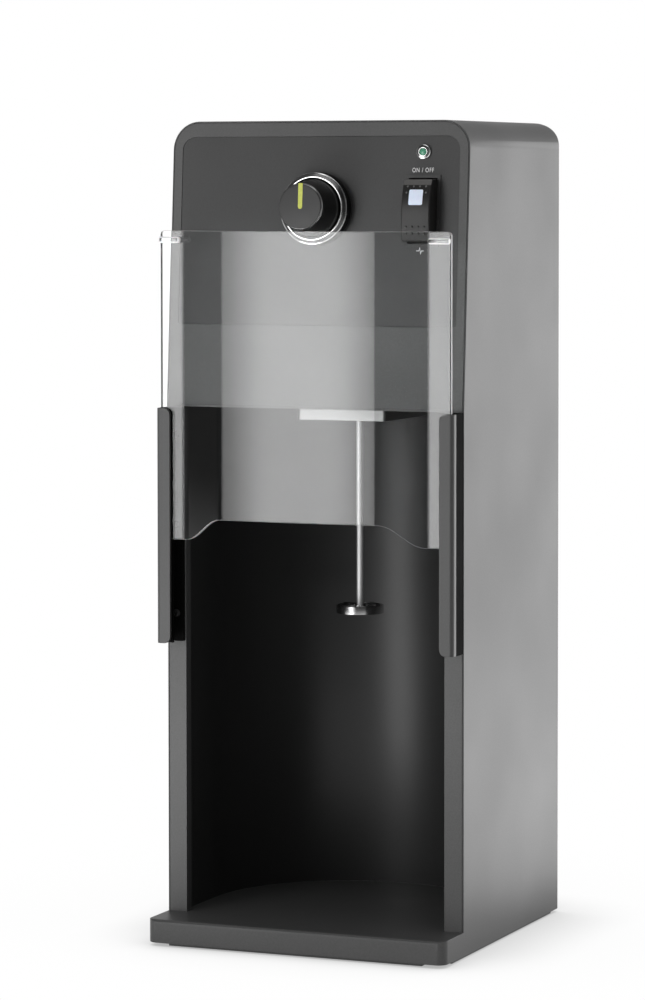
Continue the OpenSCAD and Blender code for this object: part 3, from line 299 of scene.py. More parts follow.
# Studio: plain lamps with their brightness as radiance, 1 being white
lamps = {
    "frontPanel": {"spot": (-0.63, -1.62, 0.46), "aim": (0, -0.1, 0.42), "size": (1.0, 0.9), "bright": 4.7,
                   "flat": 0.1, "core": 0.33, "wing": 0.3},
    "frontGlow": {"spot": (-0.34, -0.82, 0.004), "size": (0.42, 1.1), "bright": 4.0},
    "sidePanel": {"spot": (1.0, 2.0, 0.32), "aim": (0.1, 0, 0.3), "size": (1.6, 0.9), "bright": 2.1},
    "sideGlow": {"spot": (0.66, 0.8, 0.005), "size": (1.0, 1.4), "bright": 2.1},
    "topPanel": {"spot": (0.15, -0.45, 2.1), "aim": (0, 0, 0.3), "size": (1.5, 1.1), "bright": 1.3},
}
surroundings = {"ambient": 0.29, "frontDim": 0.1, "upDim": 0.4, "white": 1.0, "room": (-0.35, 0.15),
                "ceiling": (0.15, 0.6)}


def softCore(light, lamp):  # a softbox is brightest in its middle
    light.use_nodes = True
    tree = light.node_tree
    place = addNode(tree, "ShaderNodeNewGeometry").outputs["Parametric"]
    across = addNode(tree, "ShaderNodeSeparateXYZ", {0: place}).outputs["X"]
    away = counted(tree, "ABSOLUTE", counted(tree, "SUBTRACT", across, 0.5))
    glow = faded(tree, away, lamp["flat"], lamp["core"], 1.0, lamp["wing"])
    fill(tree, tree.nodes["Emission"], {"Strength": glow})


def makeLamps():
    for name, lamp in lamps.items():
        light = bpy.data.lights.new(name, "AREA")
        light.shape = "RECTANGLE"
        light.size, light.size_y = lamp["size"]
        light.energy = lamp["bright"] * math.pi * lamp["size"][0] * lamp["size"][1]
        if "core" in lamp:
            softCore(light, lamp)
        lampObject = bpy.data.objects.new(name, light)
        lampObject.location = lamp["spot"]
        if "aim" in lamp:
            aim = Vector(lamp["aim"]) - Vector(lamp["spot"])
            lampObject.rotation_euler = aim.to_track_quat("-Z", "Y").to_euler()
        else:  # it lies on the floor and faces up
            lampObject.rotation_euler = (math.pi, 0, 0)
        lampObject.visible_camera = False
        scene.collection.objects.link(lampObject)


def seenDirectly(tree):
    path = addNode(tree, "ShaderNodeLightPath").outputs
    through = counted(tree, "MAXIMUM", path["Is Camera Ray"], path["Is Transmission Ray"])
    shown = counted(tree, "MAXIMUM", through, path["Is Glossy Ray"])
    first = counted(tree, "LESS_THAN", path["Diffuse Depth"], 0.5)
    return path["Is Camera Ray"], counted(tree, "MULTIPLY", shown, first)


def makeSurroundings():
    world = bpy.data.worlds.new("studioWorld")
    scene.world = world
    world.use_nodes = True
    tree = world.node_tree
    seen, flag = seenDirectly(tree)
    # The white backdrop stands behind the machine, and the room in front of it is dim
    place = addNode(tree, "ShaderNodeTexCoord").outputs["Generated"]
    parts = addNode(tree, "ShaderNodeSeparateXYZ", {0: place}).outputs
    room = faded(tree, parts["Y"], *surroundings["room"], surroundings["frontDim"], surroundings["white"])
    ceiling = faded(tree, parts["Z"], *surroundings["ceiling"], 1.0, surroundings["upDim"])
    around = counted(tree, "MULTIPLY", room, ceiling)
    shown = addNode(tree, "ShaderNodeMix", {0: seen, 2: around, 3: surroundings["white"]}, data_type="FLOAT")
    strength = addNode(tree, "ShaderNodeMix", {0: flag, 2: surroundings["ambient"], 3: shown},
                       data_type="FLOAT")
    fill(tree, tree.nodes["Background"], {"Color": (1, 1, 1, 1), "Strength": strength})


def newPiece(name, mesh):
    piece = bpy.data.objects.new(name, mesh)
    scene.collection.objects.link(piece)
    return piece


# The shades are the reach and the darkest tone of the shadow close to the feet and of the wide one
floorLook = {"size": 40.0, "below": 0.0002, "shades": ((0.07, 0.45), (0.3, 0.93)), "open": 0.98,
             "bounce": 0.8, "litTo": -0.45, "dimFrom": -2.0}


def makeFloor():
    half, level = floorLook["size"] / 2, floorLook["bounce"]
    corners = [(x * half, y * half, -floorLook["below"]) for x, y in ((-1, -1), (1, -1), (1, 1), (-1, 1))]
    mesh = bpy.data.meshes.new("studioFloor")
    mesh.from_pydata(corners, [], [(0, 1, 2, 3)])
    floor = newPiece("studioFloor", mesh)
    material, tree, place = newMaterial("whiteFloor")
    tree.nodes.remove(tree.nodes["Principled BSDF"])
    shades = []
    for reach, dark in floorLook["shades"]:
        shade = addNode(tree, "ShaderNodeAmbientOcclusion", {"Distance": reach}, samples=16).outputs["AO"]
        shades.append(faded(tree, shade, 0.0, floorLook["open"], dark, kind="LINEAR"))
    # In reflections the lit floor ends in front of the machine, where the dim room begins
    seen, flag = seenDirectly(tree)
    depth = addNode(tree, "ShaderNodeSeparateXYZ", {0: place.outputs["Object"]}).outputs["Y"]
    room = faded(tree, depth, floorLook["dimFrom"], floorLook["litTo"], surroundings["frontDim"])
    shine = counted(tree, "MULTIPLY", counted(tree, "MULTIPLY", *shades),
                    counted(tree, "MAXIMUM", room, seen))
    bounce = addNode(tree, "ShaderNodeBsdfDiffuse", {"Color": (level, level, level, 1)})
    glow = addNode(tree, "ShaderNodeEmission", {"Strength": shine})
    mix = addNode(tree, "ShaderNodeMixShader", {"Fac": flag, 1: bounce, 2: glow})
    fill(tree, tree.nodes["Material Output"], {"Surface": mix})
    mesh.materials.append(material)


makeLamps()
makeSurroundings()
makeFloor()
print("camera, lamps and floor made")

# How pieces are made


def settled(piece, body, slot, material, *replaced):
    indices = [p.material_index for p in piece.data.polygons]
    piece.data.materials.clear()
    for name in [material] if isinstance(material, str) else material:
        piece.data.materials.append(finish[name])
    piece.data.polygons.foreach_set("material_index", indices)
    if replaced:
        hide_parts(*replaced)
    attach(piece, body)
    return piece


def finalMesh(piece):
    return bpy.data.meshes.new_from_object(piece.evaluated_get(bpy.context.evaluated_depsgraph_get()))


def baked(piece):
    mesh = finalMesh(piece)
    piece.modifiers.clear()
    piece.data = mesh
    return piece


def softened(piece, edge, steps, limit, edgeMaterial=-1):
    piece.data.polygons.foreach_set("use_smooth", [True] * len(piece.data.polygons))
    if edge:
        bevel = piece.modifiers.new("edges", "BEVEL")
        bevel.material = edgeMaterial
        bevel.width = edge * mm
        bevel.segments = steps
        bevel.limit_method = "ANGLE"
        bevel.angle_limit = math.radians(limit)
        bevel.use_clamp_overlap = False
    weight = piece.modifiers.new("normals", "WEIGHTED_NORMAL")
    weight.keep_sharp = True
    return baked(piece)


def closeShape(shape, mesh, sharp=None):
    shape.to_mesh(mesh)
    shape.free()
    if sharp:
        mesh.shade_smooth()
        mesh.set_sharp_from_angle(angle=math.radians(sharp))
    return mesh


def meshed(name, shape, sharp=None, outward=True):
    if outward:
        bmesh.ops.recalc_face_normals(shape, faces=shape.faces)
    return newPiece(name, closeShape(shape, bpy.data.meshes.new(name), sharp))


def camel(node):
    first, *others = node.split("_")
    return first + "".join(word.title() for word in others)


def openNode(node):  # a CAD node's shape, with the doubled corners joined
    shape = bmesh.new()
    shape.from_mesh(nodes[node].data)
    bmesh.ops.remove_doubles(shape, verts=shape.verts, dist=0.003 * mm)
    return shape


# The CAD shape of a node with softened edges
def dress(node, slot, material, edge, folds=(), move=None, body="housing"):
    shape = openNode(node)
    bmesh.ops.dissolve_limit(shape, angle_limit=math.radians(0.5), verts=shape.verts, edges=shape.edges)
    for test, radius, count in folds:
        chosen = [e for e in shape.edges if test(*[v.co / mm for v in e.verts])]
        if chosen:
            bmesh.ops.bevel(shape, geom=chosen, offset=radius * mm, segments=count, affect="EDGES",
                            profile=0.5)
    if move:
        for v in shape.verts:
            v.co = Vector(move(*(v.co / mm))) * mm
    piece = softened(meshed(camel(node), shape, outward=False), edge, 2, 35)
    return settled(piece, body, slot, material, node)


def eased(profile, rounding, steps=4, closed=False):
    result = []
    count = len(profile)
    for i, corner in enumerate(profile):
        radius = rounding[i] if isinstance(rounding, (list, tuple)) else rounding
        if radius <= 0 or (not closed and i in (0, count - 1)):
            result.append(tuple(corner))
            continue
        here = Vector(corner)
        back = Vector(profile[i - 1]) - here
        ahead = Vector(profile[(i + 1) % count]) - here
        reach = min(radius, 0.45 * back.length, 0.45 * ahead.length)
        start, end = here + back.normalized() * reach, here + ahead.normalized() * reach
        for k in range(steps + 1):
            t = k / steps
            result.append(tuple(start * (1 - t) ** 2 + here * 2 * t * (1 - t) + end * t ** 2))
    return result


def skinned(shape, pairs):  # faces between two rows of corners, where a single corner is a tip
    for low, high in pairs:
        steps = max(len(low), len(high))
        for k in range(steps):
            n = (k + 1) % steps
            corners = [low[k % len(low)], low[n % len(low)], high[n % len(high)], high[k % len(high)]]
            corners = [v for i, v in enumerate(corners) if v not in corners[:i]]
            if len(corners) > 2:
                shape.faces.new(corners)


def revolved(shape, profile, place, steps, ring=False):
    rows = []
    for radius, height in profile:
        angles = [2 * math.pi * k / steps for k in range(steps if radius > 1e-6 else 1)]
        rows.append([shape.verts.new(place(radius * math.cos(a), radius * math.sin(a), height))
                     for a in angles])
    skinned(shape, list(zip(rows, rows[1:])) + ([(rows[-1], rows[0])] if ring else []))


def turned(name, profile, place, steps=96, ring=False, sharp=35):
    shape = bmesh.new()
    revolved(shape, profile, place, steps, ring)
    return meshed(name, shape, sharp)


def hoop(name, radii, heights, rounding, steps, place, around):
    (inner, outer), (low, high) = radii, heights
    profile = [(inner, low), (outer, low), (outer, high), (inner, high)]
    return turned(name, eased(profile, rounding, steps, True), place, around, ring=True)


def pushed(name, outline, near, far, place, edge=0.0, steps=2):
    shape = bmesh.new()
    front, back = [[shape.verts.new(place(a, b, depth)) for a, b in outline] for depth in (near, far)]
    shape.faces.new(front)
    shape.faces.new(list(reversed(back)))
    for i in range(len(outline)):
        n = (i + 1) % len(outline)
        shape.faces.new([front[i], back[i], back[n], front[n]])
    return softened(meshed(name, shape), edge, steps, 35)


# What repeats is grown by Geometry Nodes on points, in millimetres, and then put in its place
def growTree(name, sizes):
    tree = bpy.data.node_groups.new(name, "GeometryNodeTree")
    kinds = {"Geometry": "Geometry", "Seed": "Int", "Waves": "Int", "Holes": "Int", "Finish": "Material"}
    for label in ("Geometry", *sizes, "Finish"):
        kind = "NodeSocket" + kinds.get(label, "Float")
        tree.interface.new_socket(name=label, in_out="INPUT", socket_type=kind)
    tree.interface.new_socket(name="Geometry", in_out="OUTPUT", socket_type="NodeSocketGeometry")
    return tree, addNode(tree, "NodeGroupInput").outputs


def endTree(tree, given, shape):
    together = addNode(tree, "GeometryNodeRealizeInstances", {"Geometry": shape})
    painted = addNode(tree, "GeometryNodeSetMaterial", {"Geometry": together, "Material": given["Finish"]})
    addNode(tree, "NodeGroupOutput", {"Geometry": painted})
    return tree


def asVector(tree, x=None, y=None, z=None):
    return addNode(tree, "ShaderNodeCombineXYZ", {"X": x, "Y": y, "Z": z})


def moved(tree, shape, offset):
    return addNode(tree, "GeometryNodeTransform", {"Geometry": shape, "Translation": offset})


def spread(tree, points, shape, rotation=None):
    inputs = {"Points": points, "Instance": shape, "Rotation": rotation}
    return addNode(tree, "GeometryNodeInstanceOnPoints", inputs)


def grown(name, tree, points, sizes, material, place, sharp=35):
    mesh = bpy.data.meshes.new(name)
    mesh.from_pydata(points, [], [])
    piece = newPiece(name, mesh)
    build = piece.modifiers.new("grow", "NODES")
    build.node_group = tree
    sockets = {item.name: item.identifier for item in tree.interface.items_tree
               if item.item_type == "SOCKET" and item.in_out == "INPUT"}
    for label, value in sizes.items():
        build[sockets[label]] = value
    build[sockets["Finish"]] = finish[material]
    baked(piece)
    shape = bmesh.new()
    shape.from_mesh(piece.data)
    for v in shape.verts:
        v.co = place(*v.co)
    bmesh.ops.recalc_face_normals(shape, faces=shape.faces)
    closeShape(shape, piece.data, sharp)
    return piece


# Body: shell, frame, panel and liner
body = {"edge": 0.4, "frameEdge": 0.22, "panelEdge": 0.1, "panelGrow": 1.0015, "panelMiddle": 126.6}
frameRim = {"half": 112.0, "top": 201.92, "corner": 18.5, "grow": 0.38, "near": 0.05, "nearCorner": 0.2}


def towardsShell(x, y, z):  # the frame's rim comes close to the shell, so their seam is a fine line
    rim, grow = frameRim, frameRim["grow"]
    out, along = ontoLean(y, z)
    side = 1 if x > 0 else -1
    wide, tall = rim["half"] - rim["corner"], rim["top"] - rim["corner"]
    if along > tall and abs(x) > wide:
        a, b = abs(x) - wide, along - tall
        reach = math.hypot(a, b)
        if reach > rim["corner"] - rim["nearCorner"]:
            x, along = side * (wide + a * (reach + grow) / reach), along + b * grow / reach
    elif abs(x) > rim["half"] - rim["near"]:
        x += side * grow
    elif along > rim["top"] - rim["near"]:
        along += grow
    return offLean(x, out, along)


def towardsFrame(x, y, z):  # the panel sits tight in its frame
    out, along = ontoLean(y, z)
    middle, grow = body["panelMiddle"], body["panelGrow"]
    return offLean(x * grow, out, middle + (along - middle) * grow)


dress("outer_shell", "graphite_enamel", "graphiteEnamel", body["edge"])
dress("front_frame", "graphite_enamel", "graphiteEnamel", body["frameEdge"], move=towardsShell)
dress("control_panel", "panel_enamel", "panelEnamel", body["panelEdge"], move=towardsFrame)
dress("alcove_liner", "black_enamel", "linerEnamel", 0.0)
dress("head_floor", "black_sheet", "blackSheet", 0.2)
dress("rear_cover", "rear_enamel", "rearEnamel", 0.2)
dress("base_pan", "pan_enamel", "panEnamel", 0.25)
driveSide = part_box("drive_cover")[1][0] / mm - 0.05


def onDriveCorner(a, b):  # the cover's upright front corners
    upright = abs(a.y - b.y) < 0.05 and abs(a.z - b.z) > 5
    return upright and a.y < 0 and all(abs(p.x) > driveSide for p in (a, b))


dress("drive_cover", "bright_steel", "brightSteel", 0.35, folds=[(onDriveCorner, 2.2, 5)])
print("body made")

# Screws with a cross recess, one tree for all of them
def makeScrewTree():
    tree, given = growTree("crossScrew", ("Head Radius", "Top Radius", "Head Height", "Recess Length",
                                          "Recess Width", "Recess Depth", "Shank Radius", "Shank Length",
                                          "Seed"))
    height = given["Head Height"]
    head = addNode(tree, "GeometryNodeMeshCone", {
        "Vertices": 36, "Radius Bottom": given["Head Radius"], "Radius Top": given["Top Radius"],
        "Depth": height})
    deep = counted(tree, "MULTIPLY", given["Recess Depth"], 2)
    arms = []
    for long, short in (("Recess Length", "Recess Width"), ("Recess Width", "Recess Length")):
        arm = addNode(tree, "GeometryNodeMeshCube", {"Size": asVector(tree, given[long], given[short], deep)})
        arms.append(moved(tree, arm, asVector(tree, z=height)))
    cross = addNode(tree, "GeometryNodeMeshBoolean", {0: head, 1: arms}, operation="DIFFERENCE",
                    solver="EXACT")
    shank = addNode(tree, "GeometryNodeMeshCylinder", {
        "Vertices": 20, "Radius": given["Shank Radius"], "Depth": given["Shank Length"]})
    halfDown = counted(tree, "MULTIPLY", given["Shank Length"], -0.5)
    below = moved(tree, shank, asVector(tree, z=halfDown))
    screw = addNode(tree, "GeometryNodeJoinGeometry", {0: [below, cross]})
    turn = addNode(tree, "FunctionNodeRandomValue", {3: math.pi / 2, "Seed": given["Seed"]},
                   data_type="FLOAT")
    return endTree(tree, given, spread(tree, given["Geometry"], screw, asVector(tree, z=turn.outputs[1])))


def looseBoxes(node):  # the box of each separate solid in a CAD node, in millimetres
    shape = openNode(node)
    left = set(shape.verts)
    boxes = []
    while left:
        todo = [left.pop()]
        found = []
        while todo:
            v = todo.pop()
            found.append(v.co / mm)
            for edge in v.link_edges:
                other = edge.other_vert(v)
                if other in left:
                    left.remove(other)
                    todo.append(other)
        boxes.append([[pick(p[k] for p in found) for k in range(3)] for pick in (min, max)])
    shape.free()
    return sorted(boxes)


# Each row: axis and its sign, height of the head, its top's share of the radius, recess length, finish
screws = {
    "rear_cover_screws": (1, 1, 1.6, 0.72, 2.6, "zincScrew"),
    "rail_screws": (1, -1, 2.0, 0.72, 2.6, "darkScrew"),
    "base_pan_screws": (2, -1, 1.4, 1.0, 2.8, "zincScrew"),
    "drive_cover_screws": (2, -1, 2.0, 0.72, 3.4, "zincScrew"),
    "motor_mount_screws": (2, 1, 3.0, 0.8, 4.6, "zincScrew"),
}
screwSlots = {"zincScrew": "screw_steel", "darkScrew": "dark_screw"}
screwShank = {"share": 0.5, "recessWidth": 0.8, "recessDepth": 0.55}
screwTree = makeScrewTree()


def makeScrews(node, seed):
    axis, sign, head, top, recess, material = screws[node]
    flat = [k for k in range(3) if k != axis]
    boxes = looseBoxes(node)
    points = [(*[(low[k] + high[k]) / 2 for k in flat], (high[axis] if sign > 0 else -low[axis]) - head)
              for low, high in boxes]
    low, high = boxes[0]
    radius = (high[flat[0]] - low[flat[0]]) / 2
    thin = radius * screwShank["share"]
    sizes = {"Head Radius": thin if top == 1.0 else radius, "Top Radius": radius * top, "Head Height": head,
             "Recess Length": recess, "Recess Width": screwShank["recessWidth"],
             "Recess Depth": head * screwShank["recessDepth"], "Shank Radius": thin,
             "Shank Length": high[axis] - low[axis] - head, "Seed": seed}

    def place(a, b, c):
        spot = [0.0, 0.0, 0.0]
        spot[flat[0]], spot[flat[1]], spot[axis] = a, b, c * sign
        return Vector(spot) * mm

    piece = softened(grown(camel(node), screwTree, points, sizes, material, place), 0.12, 2, 35)
    settled(piece, "housing", screwSlots[material], material, node)


for seed, node in enumerate(screws):
    makeScrews(node, seed + 3)

# Rolled rims of the rear cover's vents
vents = {"long": 60.0, "tall": 3.0, "across": 45.0, "rows": 9, "pitch": 6.6, "starts": (129.0, 475.0),
         "outside": 202.5, "rim": 0.4}


def makeVentTree():
    tree, given = growTree("ventRim", ("Length", "Height", "Rim Radius"))
    outline = addNode(tree, "GeometryNodeCurvePrimitiveQuadrilateral",
                      {"Width": given["Length"], "Height": given["Height"]}, mode="RECTANGLE")
    corner = counted(tree, "MULTIPLY", given["Height"], 0.499)
    rounded = addNode(tree, "GeometryNodeFilletCurve", {"Curve": outline, "Count": 6, "Radius": corner},
                      mode="POLY")
    wire = addNode(tree, "GeometryNodeCurvePrimitiveCircle", {"Resolution": 8, "Radius": given["Rim Radius"]})
    rim = addNode(tree, "GeometryNodeCurveToMesh", {"Curve": rounded, "Profile Curve": wire})
    return endTree(tree, given, spread(tree, given["Geometry"], rim))


ventPoints = [(side * vents["across"], start + row * vents["pitch"], 0.0) for side in (-1, 1)
              for start in vents["starts"] for row in range(vents["rows"])]
ventSizes = {"Length": vents["long"], "Height": vents["tall"], "Rim Radius": vents["rim"]}
ventRims = grown("ventRims", makeVentTree(), ventPoints, ventSizes, "rearEnamel",
                 lambda x, z, out: machinePoint(x, vents["outside"] + out, z), 60)
settled(ventRims, "housing", "rear_enamel", "rearEnamel")
print("screws and vent rims made:", len(screws), len(ventPoints))

# Rails: the cover is folded back along its outer side
rail = {"fold": 2.8, "outer": 113.1, "front": -19.9 + face["shift"], "edge": 0.35}


def onFold(a, b):
    return all(abs(abs(p.x) - rail["outer"]) < 0.05 and abs(p.y - rail["front"]) < 0.05 for p in (a, b))


for side in ("left", "right"):
    dress(f"rail_cover_{side}", "rail_grey", "railGrey", rail["edge"], folds=[(onFold, rail["fold"], 6)])
    dress(f"rail_channel_{side}", "rail_black", "railBlack", 0.3)
print("rails made")

# Splash shield: one bent sheet, its lower edge rises in the middle
shield = {"thick": 3.0, "mid": 60.0, "bend": 91.6, "half": 110.4, "front": -29.0, "flange": -17.0,
          "top": 508.5, "low": 289.0, "rise": 15.7, "bendRadius": 3.0, "cornerRadius": 3.0, "edge": 0.6,
          "bow": 1.9, "step": 2.0}


def shieldPath():
    corners = [(-shield["half"], shield["flange"]), (-shield["bend"], shield["flange"]),
               (-shield["mid"], shield["front"]), (shield["mid"], shield["front"]),
               (shield["bend"], shield["flange"]), (shield["half"], shield["flange"])]
    line = eased(corners, shield["bendRadius"], 8)
    path = []
    for (x0, y0), (x1, y1) in zip(line, line[1:]):
        pieces = max(1, round(math.hypot(x1 - x0, y1 - y0) / shield["step"]))
        path += [(x0 + (x1 - x0) * k / pieces, y0 + (y1 - y0) * k / pieces) for k in range(pieces)]
    # Warm bending leaves the middle a little bowed
    bowed = [(x, y - shield["bow"] * max(0.0, 1 - (x / shield["mid"]) ** 2)) for x, y in path]
    return bowed + [line[-1]]


def shieldLow(x):
    x = abs(x)
    if x >= shield["bend"]:
        return shield["low"]
    if x <= shield["mid"]:
        return shield["low"] + shield["rise"]
    t = (shield["bend"] - x) / (shield["bend"] - shield["mid"])
    return shield["low"] + shield["rise"] * (1 - math.cos(math.pi * t)) / 2


def shieldCorner(x):  # how far a corner's rounding comes in, at this width
    r = shield["cornerRadius"]
    into = max(0.0, abs(x) - (shield["half"] - r))
    return r - math.sqrt(max(0.0, r * r - into * into))


def makeShield():
    path = shieldPath()
    r = shield["cornerRadius"]
    ends = [shield["half"] - r * (1 - math.sin(a * math.pi / 12)) for a in range(6, 0, -1)]
    path = [(-x, shield["flange"]) for x in ends] + [p for p in path[1:-1] if abs(p[0]) < shield["half"] - r]
    path += [(x, shield["flange"]) for x in reversed(ends)]
    shape = bmesh.new()
    columns = []
    for i, (x, y) in enumerate(path):
        before, after = path[max(i - 1, 0)], path[min(i + 1, len(path) - 1)]
        along = Vector((after[0] - before[0], after[1] - before[1])).normalized()
        inward = Vector((-along.y, along.x)) * shield["thick"]
        cut = shieldCorner(x)
        low, high = shieldLow(x) + cut, shield["top"] - cut
        columns.append([shape.verts.new(machinePoint(x + dx, y + dy, z))
                        for dx, dy, z in ((0, 0, low), (0, 0, high), (inward.x, inward.y, high),
                                          (inward.x, inward.y, low))])
    # The top, the underside, the ends and the bevelled edges take the painted edge highlight
    for a, b in zip(columns, columns[1:]):
        for k in range(4):
            n = (k + 1) % 4
            shape.faces.new([a[k], a[n], b[n], b[k]]).material_index = k % 2
    shape.faces.new(columns[0]).material_index = 1
    shape.faces.new(list(reversed(columns[-1]))).material_index = 1
    return softened(meshed("splashShield", shape), shield["edge"], 2, 40, edgeMaterial=1)


settled(makeShield(), "shield", "clear_acrylic", ("acrylic", "shieldEdgePaintedHighlight"), "splash_shield")

pins = {"length": 16.0, "inset": 0.3, "up": 502.0, "middle": -19.0, "steps": 32, "litFrom": 0.55,
        "litEnd": 0.7}


def makePins():
    shape = bmesh.new()
    profile = [(0.0, 0.0), (1.0, 0.12), (1.7, 0.55), (2.12, 1.2), (2.25, 2.0), (2.25, pins["length"] - 0.3),
               (1.95, pins["length"]), (0.0, pins["length"])]
    start = shield["half"] - pins["inset"] - pins["length"]
    for side in (-1, 1):
        revolved(shape, profile, lambda up, y, along: machinePoint(
            side * (start + along), min(pins["middle"] + y, shield["flange"] - 0.02), pins["up"] + up),
            pins["steps"])
    piece = meshed("stopPins", shape, 40)
    for p in piece.data.polygons:  # painted highlight: a glowing white where light gathers along the top, the underside and the round end
        p.material_index = int(abs(p.normal.z) > pins["litFrom"] or abs(p.normal.x) > pins["litEnd"])
    return piece


settled(makePins(), "shield", "pin_acrylic", ("acrylic", "pinEdgePaintedHighlight"), "shield_stop_pins")
print("shield made")

# Speed knob, its ring, gasket and pointer; heights count from the frame's face
knob = {"skirt": 20.8, "ledge": 12.4, "top": 32.5, "faceRadius": 15.6, "low": 4.9, "pointerWidth": 3.3,
        "pointerReach": 16.4, "rimLow": 30.9}


def partFinish(piece, test):  # the test gives each face's finish from its reach and height on the knob's axis
    start = onKnob(0, 0, 0)
    out = (onKnob(0, 0, 1) - start).normalized()
    for p in piece.data.polygons:
        away = (p.center - start) / mm
        up = away.dot(out)
        p.material_index = int(test((away - out * up).length, up))
    return piece


def makeKnob():
    k = knob
    profile = [(0.0, k["top"]), (k["faceRadius"], k["top"]), (k["faceRadius"] + 1.1, k["top"] - 1.4),
               (k["skirt"] - 1.3, k["ledge"] + 0.8), (k["skirt"] - 0.4, k["ledge"]),
               (k["skirt"], k["low"] + 3.0), (k["skirt"], k["low"]), (10.7, k["low"]),
               (10.7, k["low"] + 3.0), (3.05, k["low"] + 3.0), (3.05, 28.0), (0.0, 28.0)]
    rounding = [0, 0.5, 0.7, 0.4, 0.8, 1.0, 0.5, 0.3, 0.2, 0, 0, 0]
    piece = turned("speedKnob", eased(profile, rounding, 5), onKnob, 128, sharp=50)
    # The face's rounded rim takes the painted highlight
    return partFinish(piece, lambda reach, up: up > k["rimLow"] and reach > k["faceRadius"] - 0.1)


settled(makeKnob(), "knob", "knob_black", ("knobBlack", "knobRimPaintedHighlight"), "speed_knob")

half = knob["pointerWidth"] / 2
pointerLine = [(half, knob["pointerReach"]), (-half, knob["pointerReach"])]
pointerLine += [(-half * math.cos(a * math.pi / 12), -half * math.sin(a * math.pi / 12)) for a in range(13)]
settled(pushed("knobPointer", eased(pointerLine, [0.5, 0.5] + [0] * 13, 3, True), knob["top"] + 0.15,
               knob["top"] - 1.6, onKnob, 0.12), "knob", "pointer_paint", "pointerYellow", "knob_pointer")

ring = {"outer": 25.4, "bore": 21.6, "hole": 4.9, "back": 0.3, "floor": 1.6, "wallTop": 7.9, "bevelOut": 24.7,
        "bevelLow": 8.9, "bevelIn": 22.7, "bevelHigh": 10.5, "lip": 22.5, "top": 11.0, "near": 0.05}


def ringPaintedLightAndShade(reach, up):  # bright chrome edges, a bevel between them painted darker as a painted reflection, and a wall painted dark as painted shade
    near = ring["near"]
    if reach > ring["outer"] - near and up < ring["wallTop"] + 2 * near or reach < ring["bore"] + near:
        return 2
    return int(ring["bevelIn"] + near < reach < ring["bevelOut"] - near and up > ring["bevelLow"] - 2 * near)


def makeRing():
    r = ring
    profile = [(r["hole"], r["back"]), (r["outer"], r["back"]), (r["outer"], r["wallTop"]),
               (r["outer"], r["bevelLow"] - 0.3), (r["bevelOut"], r["bevelLow"]),
               (r["bevelIn"], r["bevelHigh"]), (r["lip"], r["top"]), (r["bore"] + 0.1, r["top"]),
               (r["bore"], r["top"] - 0.4), (r["bore"], r["floor"]), (r["hole"], r["floor"])]
    rounding = [0, 0.2, 0, 0.4, 0.25, 0.2, 0.3, 0.25, 0.2, 0.1, 0]
    piece = turned("knobRing", eased(profile, rounding, 4), onKnob, 128, ring=True, sharp=50)
    return partFinish(piece, ringPaintedLightAndShade)


settled(makeRing(), "housing", "ring_chrome", ("chrome", "ringBevelPaintedReflection", "ringWall"), "knob_ring")
gasket = {"outer": 26.0, "back": -0.5, "rounding": [0, 0, 0.25, 0]}
settled(hoop("knobGasket", (ring["hole"], gasket["outer"]), (gasket["back"], ring["back"]),
             gasket["rounding"], 3, onKnob, 96), "housing", "gasket_rubber", "gasketRubber", "knob_gasket")
print("knob made")

# Indicator lamp
lampSizes = {"lens": 3.3, "seen": 2.45, "dome": 1.3}
bezelLine = [(3.35, -11.0), (4.0, -11.0), (4.0, -0.5), (5.5, -0.5), (5.5, 0.7), (4.9, 1.6), (3.6, 1.9),
             (2.9, 2.1), (2.5, 1.7), (2.6, 0.9), (3.35, 0.8)]
settled(turned("lampBezel", eased(bezelLine, [0, 0, 0, 0, 0.4, 0.3, 0.3, 0.3, 0.2, 0, 0], 3), onLamp, 64,
               ring=True, sharp=50), "housing", "ring_chrome", "chrome", "led_bezel")
lensLine = [(0.0, -11.0), (lampSizes["lens"], -11.0), (lampSizes["lens"], 0.7)]
lensLine += [(lampSizes["seen"] * math.cos(a * math.pi / 16),
              0.9 + lampSizes["dome"] * math.sin(a * math.pi / 16)) for a in range(8)]
lensLine += [(0.0, 0.9 + lampSizes["dome"])]
settled(turned("lampLens", lensLine, onLamp, 48), "housing", "led_green", "lampGreen", "led_lens")

# Rocker switch: a paddle with a curved front, turned ends and a lit lens
rocker = {"half": 10.45, "front": 14.3, "frontRadius": 50.0, "endRadius": 22.5, "pivot": 3.0, "lensUp": 8.7,
          "lensHalf": 5.45, "lensNarrow": 0.3, "lensCorner": 1.0, "lensProud": 0.25, "lensDeep": 0.8,
          "shoulder": (-3.0, 21.6), "back": 2.0, "lowRadius": 105.0, "tipUp": 21.5, "tipDown": 21.8,
          "stripFrom": 17.4, "stripLean": 0.5}


def rockerFront(z):  # the lower half is flatter, and the top strip leans back
    radius = rocker["frontRadius"] if z > 0 else rocker["lowRadius"]
    depth = radius - rocker["front"] - math.sqrt(radius ** 2 - min(z, rocker["stripFrom"]) ** 2)
    return depth + rocker["stripLean"] * max(0.0, z - rocker["stripFrom"])


